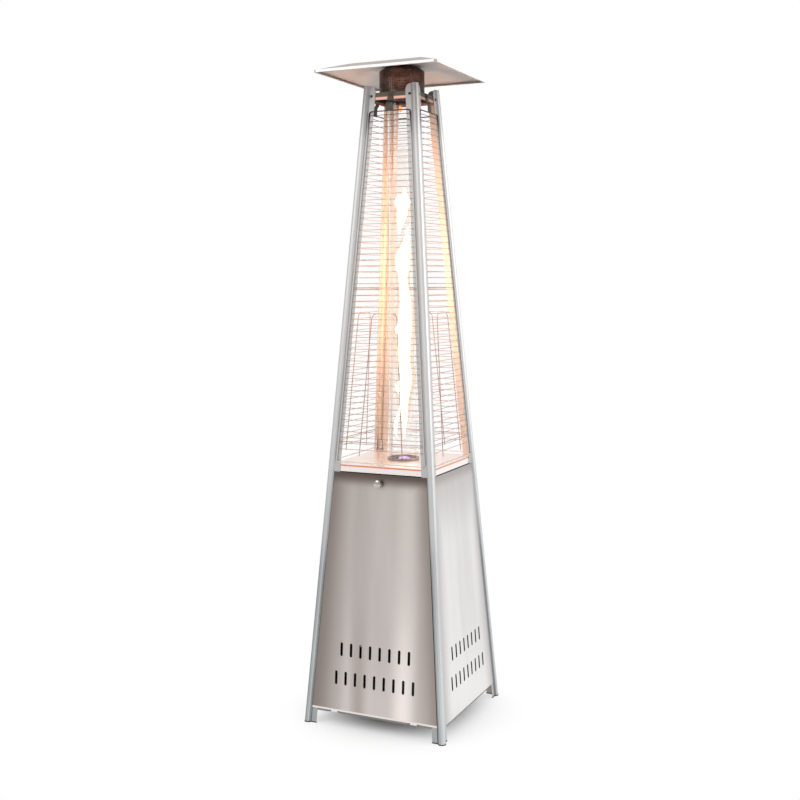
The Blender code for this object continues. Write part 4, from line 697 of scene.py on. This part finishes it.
def mottled(name, first, second, metallic, roughness, scale, relief):
    """A surface of two mixed tones with a little relief."""
    made, tree, shader = new_tree(name)
    shader.inputs["Metallic"].default_value = metallic
    patches = noise(tree, (scale, scale, scale), detail=5.0)
    sheet = blend_colours(tree, remap(tree, patches, PATCH_BAND), first, second)
    tree.links.new(sheet, shader.inputs["Base Color"])
    add_gloss(tree, shader, patches, roughness, MOTTLED_WANDER, relief)
    return made


def wire_steel(name, first, second, burnt, burnt_heights, rod_colour=None):
    """Guard wire: two mixed tones, another on the bent rod frame, and burnt in the hot gas."""
    made = mottled(name, first, second, WIRE_METALLIC, WIRE_ROUGHNESS, WIRE_PATCH_SCALE,
                   FINE_RELIEF)
    tree, shader, wire = reopen(made)
    x, y, z = split(tree)
    if rod_colour:
        from_nose = calculate(tree, 'SUBTRACT', post_line(tree, z), across_face(tree, x, y))
        upright = remap(tree, distance(tree, from_nose, GUARD_FROM_NOSE), ROD_TONE_EDGE, (1.0, 0.0))
        foot = tuple(GUARD_BOTTOM + reach for reach in ROD_TONE_EDGE)
        level = remap(tree, z, foot, (1.0, 0.0))
        wire = blend_colours(tree, calculate(tree, 'MAXIMUM', upright, level), wire, rod_colour)
    wire = blend_colours(tree, ease(tree, z, burnt_heights), wire, burnt)
    tree.links.new(wire, shader.inputs["Base Color"])
    return made


def clear_glass(name):
    """Clear tube glass with a faint smoky film."""
    made, tree, shader = new_tree(name)
    shader.inputs["Transmission Weight"].default_value = 1.0
    shader.inputs["IOR"].default_value = GLASS_IOR
    film = noise(tree, FILM_SCALE, detail=4.0)
    filmed = blend_colours(tree, remap(tree, film, NOISE_BAND), FILM_COLOUR, WHITE)
    tree.links.new(filmed, shader.inputs["Base Color"])
    tree.links.new(remap(tree, film, *FILM_GLOSS), shader.inputs["Roughness"])
    return made


def burning_gas(name, colour, strength, opacity):
    """Glowing gas, partly see-through."""
    made, tree, shader = new_tree(name)
    shader.inputs["Base Color"].default_value = (0.0, 0.0, 0.0, 1.0)
    shader.inputs["Specular IOR Level"].default_value = 0.0
    shader.inputs["Roughness"].default_value = 1.0
    shader.inputs["Emission Strength"].default_value = strength
    waver = noise(tree, GAS_SCALE, detail=3.0)
    pale = tuple(min(1.0, channel * GAS_PALER[0] + GAS_PALER[1]) for channel in colour)
    glow = blend_colours(tree, remap(tree, waver, PATCH_BAND), colour, pale)
    tree.links.new(glow, shader.inputs["Emission Color"])
    if opacity < 1.0:
        shares = tuple(min(1.0, opacity * share) for share in GAS_OPACITY)
        tree.links.new(remap(tree, waver, NOISE_BAND, shares), shader.inputs["Alpha"])
    return made


def make_finishes():
    """One material for each material slot of the record."""
    deck_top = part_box("burner_deck")[1][2]
    plate_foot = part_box("top_plate")[0][2]
    reflector = brushed_steel("reflector_steel_look", (0.46, 0.42, 0.395), roughness=0.60,
                              grain='X', dark_share=0.95, metallic=0.20)
    finishes = {
        "post_steel": post_steel(
            "post_steel_look", (0.64, 0.665, 0.68), upper_lit_colour=(0.81, 0.805, 0.80),
            inner_colour=(0.63, 0.57, 0.525), crease_shade_colour=(0.055, 0.068, 0.072), roughness=0.50),
        "sleeve_steel": brushed_steel(
            "sleeve_steel_look", (0.55, 0.55, 0.55), roughness=0.4, grain='Z'),
        # The plate steel's dark colour is painted shade: the bottom plate's skirt and top lie in
        # shadow
        "plate_steel": brushed_steel(
            "plate_steel_look", (0.26, 0.25, 0.24), roughness=0.42, grain='X'),
        "reflector_steel": highlight_hem(reflector),
        # The door's sheet is darker than the other panels': painted shade on the same steel
        "door_steel": panel_steel(
            "door_steel_look", (0.57, 0.525, 0.503), edge_shade_colour=(0.31, 0.26, 0.235),
            brow_shadow_colour=(0.12, 0.09, 0.075), back_colour=DOOR_BACK_COLOUR, crown_shade_reach=0.07,
            slot_rim=DOOR_SLOT_RIM, is_door=True),
        "panel_steel": panel_steel(
            "panel_steel_look", (0.79, 0.775, 0.77), edge_shade_colour=(0.55, 0.525, 0.51),
            brow_shadow_colour=(0.43, 0.39, 0.37), back_colour=PANEL_INSIDE_SHADE, crown_shade_reach=0.26,
            slot_rim=PANEL_SLOT_RIM),
        "deck_steel": heated_steel(
            "deck_steel_look", cool=(0.99, 0.935, 0.915), hot=(0.90, 0.86, 0.84),
            hot_reach=(0.06, 0.17),
            line=(deck_top - DECK_LINE_DROP, DECK_LINE_REACH, DECK_GLOW_LINE_COLOUR),
            roughness=0.30, metallic=0.93),
        "top_plate_steel": heated_steel(
            "top_plate_steel_look", cool=(0.085, 0.078, 0.060), hot=(0.075, 0.050, 0.040),
            hot_reach=(0.07, 0.115),
            line=(plate_foot + PLATE_LINE_RISE, PLATE_LINE_REACH, PLATE_GLOW_LINE_COLOUR),
            roughness=0.36, metallic=1.0),
        # The guard wires' warm pink tone is partly their own colour, partly painted flame glow
        "guard_wire": wire_steel(
            "guard_wire_look", (0.36, 0.245, 0.205), (0.48, 0.33, 0.27),
            burnt=(0.06, 0.035, 0.028), burnt_heights=WIRE_BURNT,
            rod_colour=(0.62, 0.60, 0.59)),
        "ring_steel": wire_steel(
            "ring_steel_look", (0.26, 0.22, 0.21), (0.40, 0.35, 0.33),
            burnt=(0.16, 0.13, 0.12), burnt_heights=RING_BURNT),
        "tube_glass": clear_glass("tube_glass_look"),
    }
    for slot, look in MOTTLED_FINISHES.items():
        finishes[slot] = mottled(slot + "_look", *look)
    return finishes


def dress_frame(finishes):
    """Give each node of the frame the material of its slot."""
    for name, thing in frame["nodes"].items():
        for slot in thing.material_slots:
            slot.material = finishes[slot_of_node(name)]


def body_of_node(node):
    """The body that carries a node."""
    bodies = frame["record"]["behaviour"]["bodies"]
    return next(body for body, nodes in bodies.items() if node in nodes)


def slot_of_node(node):
    """The material slot of a node."""
    subparts = frame["record"]["subparts"]
    return next(entry["material_slot"] for entry in subparts if entry["node"] == node)


def place_object(name, data):
    """A new object of the scene with its mesh, curve, lamp or camera."""
    made = bpy.data.objects.new(name, data)
    bpy.context.scene.collection.objects.link(made)
    return made


def mesh_of(name, bm, look):
    """A mesh with one material, made of a bmesh."""
    mesh = bpy.data.meshes.new(name)
    bm.to_mesh(mesh)
    bm.free()
    mesh.materials.append(look)
    return mesh


def add_mesh(name, bm, look, sharp_edges=True):
    """Turn a bmesh into a smooth piece with outward faces and one material."""
    bmesh.ops.recalc_face_normals(bm, faces=bm.faces)
    mesh = mesh_of(name, bm, look)
    mesh.shade_smooth()
    if sharp_edges:
        mesh.set_sharp_from_angle(angle=math.radians(SHARP_DEGREES))
    return place_object(name, mesh)


def stand_for(piece, node):
    """Make the piece ride and look in a node's place."""
    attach(piece, body_of_node(node))
    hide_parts(node)


def turned(profile, segments=FINE_SEGMENTS, place=(0.0, 0.0)):
    """A closed outline of (radius, height) points spun about an upright axis at a place."""
    bm = bmesh.new()
    poles = {}
    grid = []
    for step in range(segments):
        line = []
        for index, (radius, height) in enumerate(profile):
            if radius == 0:
                if index not in poles:
                    poles[index] = bm.verts.new((*place, height))
                line.append(poles[index])
            else:
                across, along = on_circle(radius, math.tau * step / segments)
                line.append(bm.verts.new((place[0] + across, place[1] + along, height)))
        grid.append(line)
    for step in range(segments):
        here, there = grid[step - 1], grid[step]
        for i in range(len(profile)):
            corners = []
            for vert in (here[i - 1], here[i], there[i], there[i - 1]):
                if vert not in corners:
                    corners.append(vert)
            if len(corners) > 2:
                bm.faces.new(corners)
    return bm


def rounded(points, radius, closed=True):
    """Round the corners of a path of 3D points with arcs."""
    result = []
    for i, point in enumerate(points):
        if not closed and i in (0, len(points) - 1):
            result.append(point)
            continue
        before = (points[i - 1] - point).normalized()
        after = (points[(i + 1) % len(points)] - point).normalized()
        opening = before.angle(after)
        reach = radius / math.tan(opening / 2)
        centre = point + (before + after).normalized() * radius / math.sin(opening / 2)
        start = point + before * reach - centre
        axis = start.cross(point + after * reach - centre)
        for step in range(BEND_STEPS + 1):
            spin = Matrix.Rotation((math.pi - opening) * step / BEND_STEPS, 3, axis)
            result.append(centre + spin @ start)
    return result


def add_wire(curve, points, radius, cyclic=False):
    """One round wire on a curve whose bevel is the rod's radius."""
    spline = curve.splines.new('POLY')
    spline.points.add(len(points) - 1)
    for target, point in zip(spline.points, points):
        target.co = (*point, 1.0)
        target.radius = radius / GUARD_ROD_RADIUS
    spline.use_cyclic_u = cyclic


def guard_wires():
    """The front guard's wires, each as its points, its radius and whether it is closed."""
    corners = [face_point(side * (spread(z) - GUARD_FROM_NOSE), GUARD_OUT, z)
               for z, side in ((GUARD_BOTTOM, -1), (GUARD_BOTTOM, 1),
                               (GUARD_TOP, 1), (GUARD_TOP, -1))]
    loop_out = GUARD_OUT - 2 * GUARD_WIRE_RADIUS - GUARD_STAY_RADIUS / 2
    wide_top, wide_low = spread(LOOP_TOP) * LOOP_TOP_SHARE, spread(LOOP_LOW) * LOOP_LOW_SHARE
    legs = [face_point(across, loop_out, z)
            for across, z in ((-wide_low, LOOP_LOW), (-wide_top, LOOP_TOP),
                              (wide_top, LOOP_TOP), (wide_low, LOOP_LOW))]
    wires = [(rounded(corners, GUARD_BEND), GUARD_ROD_RADIUS, True),
             (rounded(legs, LOOP_BEND, closed=False), GUARD_STAY_RADIUS, False)]
    levels = [(WIRE_TOP - index * WIRE_PITCH, GUARD_OUT, GUARD_WIRE_RADIUS)
              for index in range(WIRE_COUNT)]
    levels += [(z, GUARD_OUT - STAY_SET_BACK, GUARD_STAY_RADIUS) for z in STAY_HEIGHTS]
    for z, out, radius in levels:
        across = spread(z) - GUARD_FROM_NOSE
        wires.append(([face_point(end * across, out, z) for end in (-1, 1)], radius, False))
    return wires


def make_guards(finishes):
    """The four wire guards, each one curve: a bent rod frame, level wires, two stays and a loop."""
    wires = guard_wires()
    for count, side in enumerate(GUARD_SIDES):
        node = side + "_guard"
        turn = quarter_turn(count)
        curve = bpy.data.curves.new(node + "_wires", 'CURVE')
        curve.dimensions = '3D'
        curve.bevel_depth = GUARD_ROD_RADIUS
        curve.bevel_resolution = WIRE_ROUNDNESS
        curve.use_fill_caps = True
        for points, radius, cyclic in wires:
            add_wire(curve, [turn @ point for point in points], radius, cyclic)
        curve.materials.append(finishes["guard_wire"])
        piece = place_object(node + "_wires", curve)
        stand_for(piece, node)


def make_tube(finishes):
    """The glass tube and its two rings, rounder than the frame's."""
    low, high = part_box("glass_tube")
    radius = high[0]
    bore = radius - GLASS_WALL
    wall = [(bore, low[2]), (radius, low[2]), (radius, high[2]), (bore, high[2])]
    glass = add_mesh("flame_tube_glass", turned(wall), finishes["tube_glass"])
    glass.visible_shadow = False
    stand_for(glass, "glass_tube")
    for node, up in (("tube_seat_ring", 1), ("tube_top_ring", -1)):
        low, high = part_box(node)
        outer = high[0]
        closed_end, open_end = (low[2], high[2]) if up == 1 else (high[2], low[2])
        floor = closed_end + up * RING_FLOOR
        profile = [(RING_INNER, closed_end), (outer, closed_end), (outer, open_end),
                   (RING_GROOVE, open_end), (RING_GROOVE, floor), (RING_INNER, floor)]
        ring = add_mesh(node + "_round", turned(profile), finishes["ring_steel"])
        stand_for(ring, node)


def screen_wall(radius, low, high):
    """A perforated wall: a grid of cells, each with a square hole in its middle."""
    bm = bmesh.new()
    rows = []
    for row in range(SCREEN_ROWS + 1):
        z = low + (high - low) * row / SCREEN_ROWS
        rows.append([bm.verts.new((*on_circle(radius, math.tau * column / SCREEN_COLUMNS), z))
                     for column in range(SCREEN_COLUMNS)])
    reach = (high - low) / SCREEN_ROWS / 2 * SCREEN_HOLE_SHARE
    for row in range(SCREEN_ROWS):
        middle = low + (high - low) * (row + 0.5) / SCREEN_ROWS
        for column in range(SCREEN_COLUMNS):
            turn = math.tau * (column - 0.5) / SCREEN_COLUMNS
            corners = (rows[row][column - 1], rows[row][column],
                       rows[row + 1][column], rows[row + 1][column - 1])
            hole = [bm.verts.new((*on_circle(radius, turn + side * reach / radius),
                                  middle + lift * reach))
                    for side, lift in ((-1, -1), (1, -1), (1, 1), (-1, 1))]
            for i in range(4):
                bm.faces.new((corners[i - 1], corners[i], hole[i], hole[i - 1]))
    return bm


def make_screen(finishes):
    """The flame screen: a perforated drum with plain rims, a foot ring, a crown and four studs."""
    low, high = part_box("flame_screen")
    radius, base, tip = high[0], low[2], high[2]
    crown, wall_top = base + SCREEN_HEIGHT, base + SCREEN_WALL_HEIGHT
    rim_top, wall_foot = wall_top - SCREEN_RIM, base + SCREEN_RIM
    inner = radius - SCREEN_SHEET
    drum = add_mesh("flame_screen_wall", screen_wall(radius, wall_foot, rim_top),
                    finishes["screen_steel"])
    thick = drum.modifiers.new("sheet", 'SOLIDIFY')
    thick.thickness = SCREEN_SHEET
    thick.offset = -1.0
    stand_for(drum, "flame_screen")
    foot_top, crown_under = base + SCREEN_SHEET, crown - SCREEN_SHEET
    rims = {
        "flame_screen_foot": [
            (SCREEN_FOOT_INNER, base), (radius, base), (radius, wall_foot),
            (inner, wall_foot), (inner, foot_top), (SCREEN_FOOT_INNER, foot_top)],
        "flame_screen_crown": [
            (0, crown), (0, crown_under), (SCREEN_CROWN_RADIUS, crown_under),
            (inner, wall_top - SCREEN_SHEET), (inner, rim_top), (radius, rim_top),
            (radius, wall_top), (SCREEN_CROWN_RADIUS, crown)],
    }
    for name, profile in rims.items():
        stand_for(add_mesh(name, turned(profile), finishes["screen_steel"]), "flame_screen")
    collar_top = crown + STUD_COLLAR_HEIGHT
    outline = [(0, tip), (0, crown), (STUD_COLLAR_RADIUS, crown), (STUD_COLLAR_RADIUS, collar_top),
               (STUD_RADIUS, collar_top), (STUD_RADIUS, tip)]
    for index in range(STUD_COUNT):
        place = on_circle(STUD_CIRCLE, math.tau * index / STUD_COUNT)
        stud = add_mesh("reflector_stud_%d" % (index + 1), turned(outline, STUD_SEGMENTS, place),
                        finishes["polished_steel"])
        stand_for(stud, "flame_screen")


def add_tongue(bm, tongue, width_share):
    """One closed, rippled and swaying tongue of flame."""
    rings = []
    for height, across, half in tongue:
        sway = FLAME_SWAY[0] * math.sin(FLAME_SWAY[1] * height)
        middle = Vector(FLAME_SIDEWAYS) * (across + sway) + Vector((0, 0, height))
        ring = []
        for step in range(FLAME_ROUND):
            turn = math.tau * step / FLAME_ROUND
            reach = half * width_share
            for lobes, twist, depth in FLAME_RIPPLES:
                reach *= 1 + depth * math.sin(lobes * turn + twist * height)
            ring.append(bm.verts.new(middle + reach * Vector((*on_circle(1.0, turn), 0))))
        rings.append(ring)
    for here, there in zip(rings, rings[1:]):
        for i in range(FLAME_ROUND):
            bm.faces.new((here[i - 1], here[i], there[i], there[i - 1]))
    bm.faces.new(rings[0])
    bm.faces.new(rings[-1])


def make_flame():
    """Flame in the tube as nested shells, with its haze, the blue flame, and a painted glint of the
    flame's light at the top.
    """
    for shell, width_share, colour, strength, opacity in FLAME_SHELLS:
        look = burning_gas("flame_" + shell + "_look", colour, strength, opacity)
        bm = bmesh.new()
        for name in (shell,) if shell in FLAME_TONGUES else NESTED_TONGUES:
            add_tongue(bm, FLAME_TONGUES[name], width_share)
        piece = add_mesh("flame_" + shell, bm, look, sharp_edges=False)
        rounder = piece.modifiers.new("rounder", 'SUBSURF')
        rounder.levels = 1
        rounder.render_levels = 1
        piece.visible_shadow = False
        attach(piece, "frame")


def make_glow():
    """Warm light from the flame on the posts, wires and deck round it, and the drum's red heat."""
    for index, (height, watts, colour) in enumerate(GLOW_LAMPS):
        lamp = bpy.data.lights.new("flame_glow_%d" % index, 'POINT')
        lamp.color = colour
        lamp.energy = watts
        lamp.shadow_soft_size = GLOW_RADIUS
        place_object("flame_glow_%d" % index, lamp).location = (0.0, 0.0, height)


def make_floor():
    """A pale floor that keeps the heater's shadow, and is plain white farther out."""
    made, tree, shader = new_tree("floor_look")
    feed(tree, shader.inputs["Base Color"], FLOOR_COLOUR)
    shader.inputs["Roughness"].default_value = FLOOR_ROUGHNESS
    shader.inputs["Specular IOR Level"].default_value = FLOOR_SPECULAR
    x, y, _ = split(tree)
    away = ease(tree, length_of(tree, x, y), (FLOOR_LIT_RADIUS, FLOOR_WHITE_RADIUS))
    path = tree.nodes.new("ShaderNodeLightPath")
    seen = calculate(tree, 'MAXIMUM', path.outputs["Is Camera Ray"], path.outputs["Is Glossy Ray"])
    seen = calculate(tree, 'MAXIMUM', seen, path.outputs["Is Transmission Ray"])
    white = tree.nodes.new("ShaderNodeEmission")
    surface = mix_shaders(tree, calculate(tree, 'MULTIPLY', seen, away), shader.outputs["BSDF"],
                          white.outputs["Emission"])
    tree.links.new(surface, tree.nodes["Material Output"].inputs["Surface"])
    bm = bmesh.new()
    bmesh.ops.create_grid(bm, x_segments=1, y_segments=1, size=FLOOR_HALF)
    floor = place_object("floor", mesh_of("floor", bm, made))


def make_world():
    """White where the camera and glass look, a studio for metal to mirror, and a plain fill."""
    world = bpy.data.worlds.new("studio")
    world.use_nodes = True
    bpy.context.scene.world = world
    tree = world.node_tree
    path = tree.nodes.new("ShaderNodeLightPath")
    source = tree.nodes.new("ShaderNodeTexCoord")
    parts = tree.nodes.new("ShaderNodeSeparateXYZ")
    tree.links.new(source.outputs["Generated"], parts.inputs["Vector"])
    sideways, along = parts.outputs["X"], parts.outputs["Y"]
    room = blend_colours(tree, ease(tree, sideways, WORLD_LEFT_FADE), WORLD_LEFT, WHITE)
    room = blend_colours(tree, ease(tree, along, WORLD_AHEAD_FADE), room, WORLD_AHEAD)
    room = blend_colours(tree, ease(tree, along, WORLD_BEHIND_FADE), WORLD_BEHIND_CAMERA, room)
    background = tree.nodes["Background"]
    mirror = tree.nodes.new("ShaderNodeBackground")
    fill = tree.nodes.new("ShaderNodeBackground")
    for node, colour, strength in ((background, WHITE, 1.0), (mirror, room, 1.0),
                                   (fill, WHITE, WORLD_FILL)):
        feed(tree, node.inputs["Color"], colour)
        node.inputs["Strength"].default_value = strength
    seen = calculate(tree, 'MAXIMUM', path.outputs["Is Camera Ray"],
                     path.outputs["Is Transmission Ray"])
    lit = mix_shaders(tree, path.outputs["Is Glossy Ray"], fill.outputs["Background"],
                      mirror.outputs["Background"])
    surface = mix_shaders(tree, seen, lit, background.outputs["Background"])
    tree.links.new(surface, tree.nodes["World Output"].inputs["Surface"])


def make_lamps():
    """Plain soft studio light: a key from the upper left, a fill from the right."""
    for name, (place, size, watts) in SOFTBOXES.items():
        lamp = bpy.data.lights.new(name, 'AREA')
        lamp.shape = 'RECTANGLE'
        lamp.size, lamp.size_y = size
        lamp.energy = watts
        holder = place_object(name, lamp)
        holder.location = place
        aim = Vector(SOFTBOX_TARGET) - Vector(place)
        holder.rotation_euler = aim.to_track_quat('-Z', 'Y').to_euler()


def make_camera():
    """The photograph's viewpoint."""
    forward = Vector(CAMERA_FORWARD).normalized()
    right = forward.cross(Vector((0, 0, 1))).normalized()
    up = right.cross(forward)
    cosine, sine = math.cos(CAMERA_ROLL), math.sin(CAMERA_ROLL)
    rolled_right = cosine * right + sine * up
    rolled_up = -sine * right + cosine * up
    turn = Matrix((rolled_right, rolled_up, -forward)).transposed().to_4x4()
    data = bpy.data.cameras.new("camera")
    data.lens = CAMERA_LENS_MM
    data.sensor_width = CAMERA_SENSOR_MM
    camera = place_object("camera", data)
    camera.matrix_world = Matrix.Translation(CAMERA_EYE) @ turn
    bpy.context.scene.camera = camera


def build_scene():
    """Everything that the frame lacks, then the studio."""
    bpy.context.scene.view_settings.view_transform = 'Standard'
    finishes = make_finishes()
    dress_frame(finishes)
    make_guards(finishes)
    make_tube(finishes)
    make_screen(finishes)
    make_flame()
    make_glow()
    make_floor()
    make_world()
    make_lamps()
    make_camera()


build_scene()
